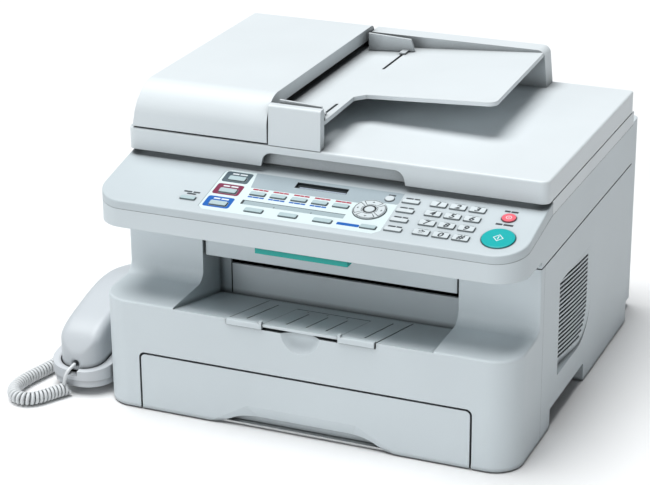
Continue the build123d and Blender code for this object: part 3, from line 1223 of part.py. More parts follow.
with BuildPart() as handset_cradle:
    nose_r = cradle_width / 2 - 5
    with BuildSketch(Plane.XY.offset(cradle_step_z)):
        with Locations((handset_x, (cradle_front_y + cradle_rear_y) / 2)):
            Rectangle(cradle_width, cradle_rear_y - cradle_front_y)
        fillet(vertices().group_by(Axis.Y)[0], nose_r)
        fillet(vertices().group_by(Axis.Y)[-1], 22)
    extrude(amount=cradle_height - cradle_step_z)
    low_front_y = cradle_front_y + cradle_inset
    with BuildSketch(Plane.XY.offset(cradle_low_z)):
        with Locations((handset_x, (low_front_y + cradle_rear_y - cradle_inset) / 2)):
            Rectangle(cradle_width - 2 * cradle_inset, cradle_rear_y - cradle_inset - low_front_y)
        fillet(vertices().group_by(Axis.Y)[0], nose_r - cradle_inset)
        fillet(vertices().group_by(Axis.Y)[-1], 18)
    extrude(amount=cradle_step_z - cradle_low_z)
    cup_half = handset_width / 2 + cup_gap
    for y0, y1 in (mouth_cup, ear_cup):
        with BuildSketch(Plane.XY.offset(cup_z)):
            with Locations((handset_x, (y0 + y1) / 2)):
                RectangleRounded(2 * cup_half, y1 - y0, cup_corner_r)
        extrude(amount=40, mode=Mode.SUBTRACT)
    block(handset_x - cup_half, handset_x + cup_half, mouth_cup[1] - 1, ear_cup[0] + 1, cup_z + 5,
          cradle_height + 1, Mode.SUBTRACT)
    # the rim falls towards both ends
    prism_x([(cradle_front_y - 1, rim_front_z), (mouth_cup[1] + 6, cradle_height + 0.1),
             (cradle_front_y - 1, cradle_height + 1)], cradle_left - 1, cradle_right + 1, Mode.SUBTRACT)
    prism_x([(cradle_rear_y + 1, rim_front_z + 4), (ear_cup[0] + 38, cradle_height + 0.1),
             (cradle_rear_y + 1, cradle_height + 1)], cradle_left - 1, cradle_right + 1, Mode.SUBTRACT)
    block(handset_x - 5, handset_x + 5, cradle_front_y - 1, mouth_cup[0] + 12, cup_z, cradle_height + 1,
          Mode.SUBTRACT)
    block(handset_x - hook_half - slide_gap, handset_x + hook_half + slide_gap, hook_y - hook_half - slide_gap,
          hook_y + hook_half + slide_gap, hook_low_z - hook_travel - 0.5, cup_z + 1, Mode.SUBTRACT)
    for y0, y1 in ((-178, -140), (-50, -20)):
        block(cradle_right - 12, -half - seam, y0, y1, cradle_hook_z, cradle_hook_z + 8)
handset_cradle.part.label = "handset_cradle"
export_step(handset_cradle.part, "parts/handset_cradle.step")

with BuildPart() as hook_switch:
    block(handset_x - hook_half, handset_x + hook_half, hook_y - hook_half, hook_y + hook_half, hook_low_z,
          cup_z + 0.1)
hook_switch.part.label = "hook_switch"
export_step(hook_switch.part, "parts/hook_switch.step")

handset_low_z = cup_z + 0.4
arch_z = 60.0
back_z = 84.0
nose_z = handset_low_z + 20
handset_nose_r = 20.0
back_edge_r = 9.0
cord_hole = 7.0
cord_hole_z = handset_low_z + 6.0
with BuildPart() as handset:
    mouth_y, ear_y = mouth_cup[1] - 32, ear_cup[0] + 32
    middle_y = (handset_front_y + handset_rear_y) / 2
    nose_front = (handset_front_y, nose_z)
    nose_rear = (handset_rear_y, nose_z)
    with BuildSketch(Plane.YZ.offset(handset_x - handset_width / 2)) as side_view:
        with BuildLine():
            Spline(nose_front, (handset_front_y + 12, back_z - 25), (handset_front_y + 42, back_z - 12),
                   (middle_y, back_z), (handset_rear_y - 42, back_z - 12), (handset_rear_y - 12, back_z - 25),
                   nose_rear)
            Polyline([nose_rear, (handset_rear_y, handset_low_z), (ear_y, handset_low_z),
                      (ear_y - 12, arch_z - 10), (ear_y - 36, arch_z), (mouth_y + 36, arch_z),
                      (mouth_y + 12, arch_z - 10), (mouth_y, handset_low_z), (handset_front_y, handset_low_z),
                      nose_front])
        make_face()
        fillet([v for v in side_view.vertices() if v.Z < arch_z + 1 and abs(v.Z - nose_front[1]) > 1], 6.0)
    extrude(amount=handset_width)
    back_edges = [e for e in handset.edges() if e.length > 2 * (ear_y - middle_y) and e.center().Z > arch_z]
    fillet(back_edges, back_edge_r)
    with BuildSketch(Plane.XY.offset(handset_low_z - 1)):
        with Locations((handset_x, middle_y)):
            RectangleRounded(handset_width, handset_rear_y - handset_front_y, handset_nose_r)
    extrude(amount=back_z, mode=Mode.INTERSECT)
    block(handset_x - cord_hole / 2, handset_x + cord_hole / 2, handset_front_y - 1, handset_front_y + 10,
          cord_hole_z, cord_hole_z + cord_hole, Mode.SUBTRACT)
handset.part.label = "handset"
export_step(handset.part, "parts/handset.step")

# The cord leaves the front of the handset as a thin tail, then coils along the surface, round a
# loose loop and back along the cradle to its jack in the left cover.
tail_d = 3.8
coil_d = 13.5
coil_z = coil_d / 2 + 0.1
tail_route = [(-246, handset_front_y - 0.3, 30), (-246.8, -208.8, 28.6), (-248.6, -214.5, 25),
              (-250.5, -216, 17), (-252, -214.5, 9.5)]
coil_route = [(-250.5, -210, coil_z), (-258, -223, coil_z), (-266, -238, coil_z), (-275, -247, coil_z),
              (-288.5, -246, coil_z), (-298, -234, coil_z), (-300.5, -217, coil_z), (-297, -198, coil_z),
              (-291, -176, coil_z), (-287.5, -148, coil_z), (-288.5, -108, coil_z), (-286.5, -62, coil_z),
              (-288, -14, coil_z), (-283, 26, coil_z), (-268, 50, coil_z), (-242, cord_jack_y, coil_z),
              (-half - 0.4, cord_jack_y, coil_z)]


def turn_radii(route, share=0.45):
    radii = []
    for a, b, c in zip(route, route[1:], route[2:]):
        before = Vector(*b) - Vector(*a)
        after = Vector(*c) - Vector(*b)
        turn = radians(before.get_angle(after))
        radii.append(share * min(before.length, after.length) / tan(turn / 2))
    return radii


def cord_tube(route, diameter):
    radii = turn_radii(route)
    with BuildLine() as path:
        FilletPolyline(*route, radius=radii)
    with BuildSketch(Plane(origin=path.line @ 0, z_dir=path.line % 0)) as section:
        Circle(diameter / 2)
    sweep(section.sketch, path=path.line)
    return sum(edge.length for edge in path.edges()), radii


for name, route, diameter in (("cord_tail", tail_route, tail_d), ("cord_coil", coil_route, coil_d)):
    with BuildPart() as cord:
        length, radii = cord_tube(route, diameter)
    cord.part.label = name
    export_step(cord.part, f"parts/{name}.step")
    section = 3.14159265 * diameter ** 2 / 4
    print(name, "length", round(length, 1), "volume ratio", round(cord.part.volume / (section * length), 4),
          "radii", [round(r, 1) for r in radii])
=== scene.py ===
# Desktop fax machine with a document feeder, a paper cassette and a corded handset.
# Metres, with X to the right, Y to the back and Z up. The front faces -Y.
import math

import bmesh
import bpy
from mathutils import Matrix, Vector


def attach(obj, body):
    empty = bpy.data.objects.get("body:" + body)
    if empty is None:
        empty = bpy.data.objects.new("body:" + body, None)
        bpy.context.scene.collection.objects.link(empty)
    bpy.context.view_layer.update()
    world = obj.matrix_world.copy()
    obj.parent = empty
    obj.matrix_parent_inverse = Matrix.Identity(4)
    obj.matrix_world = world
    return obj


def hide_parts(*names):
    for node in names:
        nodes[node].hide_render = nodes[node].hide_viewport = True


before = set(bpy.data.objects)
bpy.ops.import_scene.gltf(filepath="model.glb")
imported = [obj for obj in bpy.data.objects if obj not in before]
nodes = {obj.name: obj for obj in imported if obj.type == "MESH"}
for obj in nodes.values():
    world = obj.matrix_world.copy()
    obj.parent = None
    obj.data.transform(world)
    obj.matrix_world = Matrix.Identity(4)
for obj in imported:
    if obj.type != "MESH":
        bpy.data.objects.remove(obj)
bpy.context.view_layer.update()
mm = 0.001
print("frame loaded:", len(nodes), "nodes")

# camera
cameraPlan = {
    "azimuth": 23.122,   # degrees to the right of the front
    "elevation": 21.83,
    "roll": -0.498,
    "place": (0.7256, -1.8525, 0.9215),
    "lens": 118.17,
    "shift": (0.0025, -0.0062),
}


def makeCamera(plan):
    a, e, r = (math.radians(plan[k]) for k in ("azimuth", "elevation", "roll"))
    back = Vector((math.sin(a) * math.cos(e), -math.cos(a) * math.cos(e), math.sin(e)))
    right = Vector((math.cos(a), math.sin(a), 0.0))
    up = back.cross(right)
    turnedRight = right * math.cos(r) + up * math.sin(r)
    turnedUp = up * math.cos(r) - right * math.sin(r)
    data = bpy.data.cameras.new("viewCamera")
    data.lens = plan["lens"]
    data.sensor_width = 36.0
    data.shift_x, data.shift_y = plan["shift"]
    data.clip_end = 50.0
    holder = bpy.data.objects.new("viewCamera", data)
    turn = Matrix((turnedRight, turnedUp, back)).transposed()
    holder.matrix_world = Matrix.Translation(plan["place"]) @ turn.to_4x4()
    bpy.context.scene.collection.objects.link(holder)
    bpy.context.scene.camera = holder


makeCamera(cameraPlan)
print("camera placed")


# mesh helpers
def addObject(name, mesh):
    made = bpy.data.objects.new(name, mesh)
    bpy.context.scene.collection.objects.link(made)
    return made


def objectFrom(name, bm, smooth=True):
    mesh = bpy.data.meshes.new(name)
    bmesh.ops.recalc_face_normals(bm, faces=bm.faces[:])
    bm.to_mesh(mesh)
    bm.free()
    if smooth:
        mesh.shade_smooth()
    return addObject(name, mesh)


def bakeModifiers(piece):
    # turns what the modifiers make into the piece's own plain mesh
    layer = bpy.context.evaluated_depsgraph_get()
    mesh = bpy.data.meshes.new_from_object(piece.evaluated_get(layer))
    piece.modifiers.clear()
    piece.data = mesh
    return piece


def tube(name, points, radius, sides=10):
    # a tube along the points, turned as little as possible from ring to ring
    bm = bmesh.new()
    rings = []
    across = None
    for i, here in enumerate(points):
        ahead = points[min(i + 1, len(points) - 1)] - points[max(i - 1, 0)]
        ahead.normalize()
        if across is None:
            across = ahead.orthogonal().normalized()
        across = (across - ahead * across.dot(ahead)).normalized()
        other = ahead.cross(across)
        ring = []
        for k in range(sides):
            turn = 2 * math.pi * k / sides
            outward = across * math.cos(turn) + other * math.sin(turn)
            ring.append(bm.verts.new(here + radius * outward))
        rings.append(ring)
    for before, after in zip(rings, rings[1:]):
        for k in range(sides):
            j = (k + 1) % sides
            bm.faces.new((before[k], before[j], after[j], after[k]))
    bm.faces.new(rings[0][::-1])
    bm.faces.new(rings[-1])
    return objectFrom(name, bm)


# curly cord
cordPlan = {
    "wire": 3.4,         # millimetres
    "coil": 13.5,
    "pitch": 3.95,
    "taper": 16.0,       # length over which the last turns close in on the jack
    "turnSteps": 20,
    "tail": [(-246, -201.3, 30), (-246.8, -208.8, 28.6), (-248.6, -214.5, 25), (-250.5, -216, 17),
             (-252, -214.5, 9.5)],
    "tailSteps": 10,
    "route": [(-250.5, -210), (-258, -223), (-266, -238), (-275, -247), (-288.5, -246),
              (-298, -234), (-300.5, -217), (-297, -198), (-291, -176), (-287.5, -148),
              (-288.5, -108), (-286.5, -62), (-288, -14), (-283, 26), (-268, 50), (-242, 60),
              (-210.4, 60)],
    "routeSteps": 60,
    "height": 6.85,
}


def routeLine(name, points, resolution):
    # the points of a smooth line through the route, read back from its curve
    curve = bpy.data.curves.new(name, "CURVE")
    curve.dimensions = "3D"
    spline = curve.splines.new("NURBS")
    spline.points.add(len(points) - 1)
    for spot, place in zip(spline.points, points):
        spot.co = (*[v * mm for v in place], 1.0)
    spline.order_u = 3
    spline.use_endpoint_u = True
    spline.resolution_u = resolution
    holder = addObject(name, curve)
    bpy.context.view_layer.update()
    layer = bpy.context.evaluated_depsgraph_get()
    mesh = bpy.data.meshes.new_from_object(holder.evaluated_get(layer))
    line = [v.co.copy() for v in mesh.vertices]
    bpy.data.meshes.remove(mesh)
    bpy.data.objects.remove(holder)
    return line


def makeCord(plan):
    tail = routeLine("tailRoute", plan["tail"], plan["tailSteps"])
    flat = [(x, y, plan["height"]) for x, y in plan["route"]]
    route = routeLine("coilRoute", flat, plan["routeSteps"])
    runs = [0.0]
    for a, b in zip(route, route[1:]):
        runs.append(runs[-1] + (b - a).length)
    total = runs[-1]
    turnSteps = plan["turnSteps"]
    step = plan["pitch"] * mm / turnSteps
    coilRadius = (plan["coil"] - plan["wire"]) / 2 * mm
    line = list(tail)
    count = int(total / step)
    spot = 0
    for k in range(1, count + 1):
        along = min(k * step, total)
        while spot < len(runs) - 2 and runs[spot + 1] < along:
            spot += 1
        share = (along - runs[spot]) / (runs[spot + 1] - runs[spot])
        middle = route[spot].lerp(route[spot + 1], share)
        ahead = (route[spot + 1] - route[spot]).normalized()
        side = Vector((-ahead.y, ahead.x, 0.0))
        turn = 2 * math.pi * k / turnSteps
        close = min(1.0, (total - along) / (plan["taper"] * mm))
        radius = coilRadius * math.sin(close * math.pi / 2)
        outward = side * math.cos(turn) + Vector((0, 0, -1)) * math.sin(turn)
        line.append(middle + radius * outward)
    length = sum((b - a).length for a, b in zip(line, line[1:]))
    cord = tube("curlyCord", line, plan["wire"] / 2 * mm)
    return cord, line, length


curlyCord, cordLine, cordLength = makeCord(cordPlan)
print("cord made, metres of wire:", round(cordLength, 3))

# finishes
# colour, roughness, grain height and edge radius in millimetres,
# and how far the painted shade of gaps and corners reaches in metres
plasticFinishes = {
    # the lower housing: the cover plastic made darker, painting in the shade under the panel and on
    # the lower faces
    "coverShadedWhite": ((0.59, 0.645, 0.67), 0.52, 0.020, 0.7, 0.006),
    # the cover white's long reach paints shade onto the lid under the document tray
    "coverWhite": ((0.69, 0.735, 0.755), 0.50, 0.016, 0.9, 0.022),
    "panelWhite": ((0.505, 0.56, 0.585), 0.48, 0.012, 0.7, 0.008),
    "handsetWhite": ((0.49, 0.52, 0.545), 0.42, 0.008, 0.6),
    "cradleWhite": ((0.55, 0.575, 0.60), 0.45, 0.014, 0.8),
    "cordWhite": ((0.66, 0.68, 0.69), 0.40, 0.004, 0.2, 0.0012),
    "keyGrey": ((0.40, 0.51, 0.53), 0.38, 0.006, 0.4),
    "keyWhite": ((0.58, 0.635, 0.655), 0.38, 0.006, 0.4),
    "leverTeal": ((0.0005, 0.33, 0.29), 0.5, 0.008, 0.5),
    "startTeal": ((0.001, 0.385, 0.385), 0.32, 0.004, 0.6),
    "stopCoral": ((0.75, 0.12, 0.16), 0.30, 0.004, 0.5),
    "innerBlack": ((0.022, 0.025, 0.027), 0.55, 0.02, 0.4),
    "innerGrey": ((0.20, 0.215, 0.225), 0.5, 0.02, 0.4),
    "padWhite": ((0.82, 0.83, 0.82), 0.75, 0.05, 0.6),
    "rubber": ((0.035, 0.037, 0.04), 0.72, 0.05, 0.4),
}


texturePlan = {
    "driftScale": 9.0,       # slow change of tone over a cover
    "grainScale": 2600.0,    # spark-eroded texture
    "speckleScale": 1800.0,  # unevenness of printed ink
    "noiseSpan": (0.3, 0.7),
    "bumpStrength": 0.35,
    "samples": 6,
    # how strongly the painted shade darkens gaps and corners
    "creaseShadePower": 1.3,
    "plasticIndex": 1.49,
    "glassIndex": 1.5,
}
# the small function keys: where the pale ones lie, in metres, and the finish of all of them
stripPlan = {
    "padLeft": 0.0355,
    "padAbove": 0.2185,
    "columnLeft": 0.0735,
    "reach": 0.003,
    # how strongly the painted shade darkens the gaps round these keys
    "creaseShadePower": 1.2,
    "roughness": 0.38,
    "edge": 0.4,
    "grain": 0.006,
}


def freshMaterial(name):
    made = bpy.data.materials.new(name)
    made.use_nodes = True
    tree = made.node_tree
    tree.nodes.clear()
    out = tree.nodes.new("ShaderNodeOutputMaterial")
    shader = tree.nodes.new("ShaderNodeBsdfPrincipled")
    tree.links.new(shader.outputs["BSDF"], out.inputs["Surface"])
    coords = tree.nodes.new("ShaderNodeTexCoord").outputs["Object"]
    return made, tree, shader, coords


def noiseNode(tree, coords, scale, detail=2.0):
    node = tree.nodes.new("ShaderNodeTexNoise")
    node.inputs["Scale"].default_value = scale
    node.inputs["Detail"].default_value = detail
    tree.links.new(coords, node.inputs["Vector"])
    return node


def mixedColour(tree, factor, low, high):
    ramp = tree.nodes.new("ShaderNodeValToRGB")
    for stop, place, colour in zip(ramp.color_ramp.elements, texturePlan["noiseSpan"], (low, high)):
        stop.position = place
        stop.color = (*colour, 1.0)
    tree.links.new(factor, ramp.inputs["Fac"])
    return ramp.outputs["Color"]


def mapped(tree, factor, low, high):
    node = tree.nodes.new("ShaderNodeMapRange")
    node.inputs["From Min"].default_value = texturePlan["noiseSpan"][0]
    node.inputs["From Max"].default_value = texturePlan["noiseSpan"][1]
    node.inputs["To Min"].default_value = low
    node.inputs["To Max"].default_value = high
    tree.links.new(factor, node.inputs["Value"])
    return node.outputs["Result"]


def patterned(tree, shader, factor, colours, gloss):
    # one pattern moves both the colour and the roughness between two values
    tree.links.new(mixedColour(tree, factor, *colours), shader.inputs["Base Color"])
    tree.links.new(mapped(tree, factor, *gloss), shader.inputs["Roughness"])


def roundedNormal(tree, radius, height, distance):
    # edges look rounded by the radius, with the fine grain on top
    edge = tree.nodes.new("ShaderNodeBevel")
    edge.samples = texturePlan["samples"]
    edge.inputs["Radius"].default_value = radius * mm
    bump = tree.nodes.new("ShaderNodeBump")
    bump.inputs["Strength"].default_value = texturePlan["bumpStrength"]
    bump.inputs["Distance"].default_value = distance * mm
    tree.links.new(height, bump.inputs["Height"])
    tree.links.new(edge.outputs["Normal"], bump.inputs["Normal"])
    return bump.outputs["Normal"]


def paintedCreaseShade(tree, tone, reach, strength):
    # painted shade: the colour is darkened by ambient occlusion in gaps, inner corners and under
    # things close above
    near = tree.nodes.new("ShaderNodeAmbientOcclusion")
    near.samples = texturePlan["samples"]
    near.inputs["Distance"].default_value = reach
    depth = tree.nodes.new("ShaderNodeMath")
    depth.operation = "POWER"
    depth.inputs[1].default_value = strength
    tree.links.new(near.outputs["AO"], depth.inputs[0])
    both = tree.nodes.new("ShaderNodeVectorMath")
    both.operation = "MULTIPLY"
    tree.links.new(tone, both.inputs[0])
    tree.links.new(depth.outputs["Value"], both.inputs[1])
    return both.outputs["Vector"]


def moulded(tree, shader, coords, tone, roughness, grain, edge):
    # the grain and rounded edges that every moulded part has
    fine = noiseNode(tree, coords, texturePlan["grainScale"]).outputs["Fac"]
    tree.links.new(tone, shader.inputs["Base Color"])
    tree.links.new(mapped(tree, fine, roughness - 0.03, roughness + 0.04),
                   shader.inputs["Roughness"])
    tree.links.new(roundedNormal(tree, edge, fine, grain), shader.inputs["Normal"])


def plastic(name, colour, roughness, grain, edge, reach=0.005):
    # moulded plastic: spark-eroded grain, a faint drift of tone and gloss, rounded edges, and
    # painted shade in gaps and corners
    made, tree, shader, coords = freshMaterial(name)
    drift = noiseNode(tree, coords, texturePlan["driftScale"], 3.0)
    low = tuple(c * 0.975 for c in colour)
    high = tuple(min(1.0, c * 1.015) for c in colour)
    tone = mixedColour(tree, drift.outputs["Fac"], low, high)
    tone = paintedCreaseShade(tree, tone, reach, texturePlan["creaseShadePower"])
    moulded(tree, shader, coords, tone, roughness, grain, edge)
    shader.inputs["IOR"].default_value = texturePlan["plasticIndex"]
    return made


finish = {name: plastic(name, *values) for name, values in plasticFinishes.items()}


def twoToneKeys(name, dark, light, plan):
    # the keys on the film are tinted; the direction pad and the right-hand column match the panel
    made, tree, shader, coords = freshMaterial(name)
    place = tree.nodes.new("ShaderNodeSeparateXYZ")
    tree.links.new(coords, place.inputs["Vector"])

    def beyond(value, limit):
        node = tree.nodes.new("ShaderNodeMath")
        node.operation = "GREATER_THAN"
        node.inputs[1].default_value = limit
        tree.links.new(value, node.inputs[0])
        return node.outputs["Value"]

    def joined(kind, a, b):
        node = tree.nodes.new("ShaderNodeMath")
        node.operation = kind
        tree.links.new(a, node.inputs[0])
        tree.links.new(b, node.inputs[1])
        return node.outputs["Value"]

    pad = joined("MULTIPLY", beyond(place.outputs["X"], plan["padLeft"]),
                 beyond(place.outputs["Z"], plan["padAbove"]))
    pale = joined("MAXIMUM", pad, beyond(place.outputs["X"], plan["columnLeft"]))
    tone = paintedCreaseShade(tree, mixedColour(tree, pale, dark, light), plan["reach"], plan["creaseShadePower"])
    moulded(tree, shader, coords, tone, plan["roughness"], plan["grain"], plan["edge"])
    return made


finish["stripKeys"] = twoToneKeys("stripKeys", plasticFinishes["keyGrey"][0],
                                  plasticFinishes["keyWhite"][0], stripPlan)


def metal(name, colour, roughness, brushed=(1.0, 1.0, 1.0), scale=900.0):
    made, tree, shader, coords = freshMaterial(name)
    stretch = tree.nodes.new("ShaderNodeMapping")
    stretch.inputs["Scale"].default_value = brushed
    tree.links.new(coords, stretch.inputs["Vector"])
    lines = noiseNode(tree, stretch.outputs["Vector"], scale, 3.0)
    low = tuple(c * 0.86 for c in colour)
    gloss = (roughness * 0.8, roughness * 1.25)
    patterned(tree, shader, lines.outputs["Fac"], (low, colour), gloss)
    shader.inputs["Metallic"].default_value = 1.0
    tree.links.new(roundedNormal(tree, 0.3, lines.outputs["Fac"], 0.02), shader.inputs["Normal"])
    return made


finish["frameSteel"] = metal("frameSteel", (0.56, 0.57, 0.57), 0.38, (1.0, 12.0, 1.0), 160.0)
finish["shaftSteel"] = metal("shaftSteel", (0.66, 0.66, 0.65), 0.22, (0.15, 4.0, 4.0), 400.0)
finish["screwSteel"] = metal("screwSteel", (0.60, 0.60, 0.58), 0.28)


def glossCoat(name, colour, roughness, coat):
    made, tree, shader, coords = freshMaterial(name)
    drift = noiseNode(tree, coords, 40.0, 2.0)
    low = tuple(c * 0.9 for c in colour)
    gloss = (roughness * 0.85, roughness * 1.15)
    patterned(tree, shader, drift.outputs["Fac"], (low, colour), gloss)
    shader.inputs["Coat Weight"].default_value = coat
    shader.inputs["Coat Roughness"].default_value = 0.08
    return made


finish["drumCoat"] = glossCoat("drumCoat", (0.03, 0.16, 0.20), 0.2, 0.6)
finish["boardGreen"] = glossCoat("boardGreen", (0.02, 0.13, 0.06), 0.45, 0.2)


def glassSheet():
    made, tree, shader, coords = freshMaterial("platenGlass")
    smears = noiseNode(tree, coords, 14.0, 4.0)
    patterned(tree, shader, smears.outputs["Fac"], ((0.78, 0.88, 0.86), (0.84, 0.93, 0.91)),
              (0.015, 0.05))
    shader.inputs["Transmission Weight"].default_value = 0.92
    shader.inputs["IOR"].default_value = texturePlan["glassIndex"]
    return made


def displayFace():
    # passive display: pale grey-green with the faint cells of its unlit dots
    made, tree, shader, coords = freshMaterial("displayFace")
    cells = tree.nodes.new("ShaderNodeTexBrick")
    cells.inputs["Scale"].default_value = 1.0
    cells.inputs["Brick Width"].default_value = 0.0026
    cells.inputs["Row Height"].default_value = 0.0046
    cells.inputs["Mortar Size"].default_value = 0.00022
    cells.offset = 0.0
    cells.inputs["Color1"].default_value = (0.36, 0.42, 0.50, 1)
    cells.inputs["Color2"].default_value = (0.38, 0.44, 0.52, 1)
    cells.inputs["Mortar"].default_value = (0.42, 0.48, 0.56, 1)
    tree.links.new(coords, cells.inputs["Vector"])
    tree.links.new(cells.outputs["Color"], shader.inputs["Base Color"])
    tree.links.new(mapped(tree, cells.outputs["Fac"], 0.16, 0.22), shader.inputs["Roughness"])
    shader.inputs["Coat Weight"].default_value = 0.5
    shader.inputs["Coat Roughness"].default_value = 0.05
    return made


# colour and roughness of the printing inks and films
inkFinishes = {
    "filmWhite": ((0.64, 0.735, 0.745), 0.42),
    "bandGrey": ((0.34, 0.405, 0.44), 0.42),
    "stripGrey": ((0.34, 0.42, 0.445), 0.35),
    "slateInk": ((0.075, 0.11, 0.13), 0.45),
    "maroonInk": ((0.19, 0.018, 0.06), 0.45),
    "blueInk": ((0.002, 0.105, 0.42), 0.45),
    "redInk": ((0.38, 0.014, 0.05), 0.5),
    "darkInkAndShade": ((0.04, 0.048, 0.054), 0.5),
    "paleInk": ((0.70, 0.75, 0.77), 0.5),
    "greyInkAndShade": ((0.20, 0.235, 0.25), 0.5),
    # black for painted shade in the display well and in the feeder's mouths
    "blackAndPaintedShade": ((0.03, 0.038, 0.042), 0.5),
}


def ink(name, colour, roughness):
    # screen-printed ink: a fine uneven edge of tone and a slightly open gloss
    made, tree, shader, coords = freshMaterial(name)
    speckle = noiseNode(tree, coords, texturePlan["speckleScale"])
    low = tuple(c * 0.94 for c in colour)
    high = tuple(min(1.0, c * 1.04) for c in colour)
    gloss = (roughness - 0.05, roughness + 0.05)
    patterned(tree, shader, speckle.outputs["Fac"], (low, high), gloss)
    shader.inputs["Specular IOR Level"].default_value = 0.25
    return made


for name, values in inkFinishes.items():
    finish[name] = ink(name, *values)
finish["platenGlass"] = glassSheet()
finish["displayFace"] = displayFace()

nodeFinishes = {
    # the lower housing takes the darkened cover plastic as painted shade
    "coverShadedWhite": ["front_cover", "left_cover", "right_cover", "rear_housing", "rear_door",
                  "paper_cassette", "output_tray", "tray_extension", "scanner_base"],
    "coverWhite": ["scanner_top", "lid_plate", "adf_base", "adf_cover", "document_tray",
                   "front_document_guide", "rear_document_guide"],
    "panelWhite": ["panel_cover"],
    "handsetWhite": ["handset"],
    "cradleWhite": ["handset_cradle", "hook_switch"],
    "keyWhite": ["key_1", "key_2", "key_3", "key_4", "key_5", "key_6", "key_7", "key_8", "key_9",
                 "key_0", "key_star", "key_hash"],
    "stripKeys": ["function_keys"],
    "leverTeal": ["open_lever"],
    "startTeal": ["start_key"],
    "stopCoral": ["stop_key"],
    "innerBlack": ["ac_inlet", "power_switch", "fuser_frame", "drum_cartridge", "laser_unit",
                   "fan_rotor", "scan_carriage"],
    "innerGrey": ["left_paper_guide", "right_paper_guide"],
    "padWhite": ["platen_pad"],
    "rubber": ["rubber_feet", "exit_roller", "pickup_roller", "feed_roller"],
    "frameSteel": ["base_frame", "lift_plate"],
    "shaftSteel": ["heat_roller"],
    "screwSteel": ["screws"],
    "drumCoat": ["photo_drum"],
    "boardGreen": ["main_board"],
    "platenGlass": ["platen_glass"],
    "displayFace": ["lcd_window"],
    "cordWhite": ["cord_tail", "cord_coil"],
}


def dress(piece, material):
    piece.data.materials.clear()
    piece.data.materials.append(material)


for name, members in nodeFinishes.items():
    for member in members:
        dress(nodes[member], finish[name])
missing = set(nodes) - {m for members in nodeFinishes.values() for m in members}
print("nodes without a finish:", sorted(missing))

# control panel print: places are millimetres along the panel and up its slope,
# boxes are left, low, right, high and keys are middle, up, width, height
panelPlan = {
    "front": (-208.2, 212.4),      # y and z of the panel's front edge
    "slope": 12.5,
    "lineWidth": 0.5,
    "keyGap": 0.55,
    "capRise": 1.3,
    "foot": -0.06,                 # how deep the printed layers reach into the panel
    "film": (-107.0, 7.0, 73.5, 76.5),
    "filmCorners": (5.0, 6.0),     # cut corners on the left and at the lower right
    "bandLow": 51.8,
    "bandStep": (42.0, 62.0, 5.6),  # where the band's lower edge starts and ends its rise
    "bandSlant": (-71.6, -75.6),   # the slanted left end of the band, low and high
    "bandSeam": (0.2, 0.3),
    "bandBevel": 1.5,
    "display": (-5.4, 66.6, 52.0, 9.6),
    "displayDeep": 2.7,
    "displayRadius": 0.3,
    "displayMargins": {            # left, low, right, high
        "window": (-0.2, -0.2, -0.2, -0.2),
        "outside": (0.02, 0.02, 0.02, 0.02),
        "inside": (0.5, 0.4, 0.5, 0.4),
        # face: the dark border painted on the display as the shadow of the well's top and left
        # walls
        "face": (3.0, 0.6, 1.0, 3.2),
    },
    "card": (-70.0, 23.6, 33.0, 30.6),
    "cardTicks": (-36.6, 0.6),
    "modeFrame": (-104.5, -77.5, 6.4, 11.6),  # left, right, below and above the key's middle
    "okLabel": (30.2, 2.6, 1.6, 1.2),         # left, below, above, distance from the key
}
keyPlan = {
    "mode": [(-90.0, up, 17.0, 6.6) for up in (18.8, 40.8, 62.3)],
    "row": [(-18.4 + 20.9 * i, 42.5, 14.8, 5.0) for i in (-2, -1, 0, 1, 2)],
    "low": [(-18.2 + 34.4 * i, 15.4, 17.6, 5.4) for i in (-1, 0, 1)],
    "column": [(84.0, 41.2 + 15.7 * i, 16.0, 5.2) for i in (-1.5, -0.5, 0.5, 1.5)],
    "quick": [(-122.2, 20.6, 14.8, 5.0)],
    "ok": [(60.6, 16.0, 14.8, 5.0)],
    "digits": [(129.2 + 18.7 * (column - 1), 42.8 + 15.7 * (1.5 - row), 14.6, 7.6)
               for row in range(4) for column in range(3)],
    "round": [(63.1, 64.7, 4.2)],
    "pad": [(51.7, 42.9, 15.4)],
    "start": [(180.4, 27.1, 15.3)],
    "stop": [(179.3, 60.7, 6.5)],
}
digitPlan = {
    "nodes": ["key_1", "key_2", "key_3", "key_4", "key_5", "key_6", "key_7", "key_8", "key_9",
              "key_star", "key_0", "key_hash"],
    "marks": "123456789*0#",
    "height": 6.2,
    "width": 1.12,
    "shear": 0.24,
    "thickness": 0.05,
    "weight": 0.03,
    "capShare": 0.7,     # height of a digit as a share of the type size
    "starScale": 1.35,
}
# marks on the key tops, from the middle of the key
markPlan = {
    "sink": 0.04,
    "rise": 0.05,
    "petalEdges": ((7.4, 0.5, 39), (7.9, 1.1, 36)),  # inner radius, outer margin, half angle
    "arrow": (12.6, 10.9, 1.3),                      # tip, back and half width
    "ring": (5.0, 4.6),
    "diamonds": ((5.0, 5.4), (3.9, 4.2)),
    "startBar": (0.45, 2.6, 2.6),                    # half width, below, above
    "octagons": (2.9, 2.3),
    "stopBar": (0.3, 1.1, 1.5),
    "barRadius": 0.2,
}


def onPanel(x, up, out=0.0):
    slope = math.radians(panelPlan["slope"])
    frontY, frontZ = panelPlan["front"]
    return Vector((x, frontY + up * math.cos(slope) - out * math.sin(slope),
                   frontZ + up * math.sin(slope) + out * math.cos(slope))) * mm


def roundedBox(left, low, right, high, radius, steps=4):
    points = []
    corners = [(right - radius, high - radius, 0), (left + radius, high - radius, 90),
               (left + radius, low + radius, 180), (right - radius, low + radius, 270)]
    for x, y, start in corners:
        for k in range(steps + 1):
            turn = math.radians(start + 90 * k / steps)
            points.append((x + radius * math.cos(turn), y + radius * math.sin(turn)))
    return points


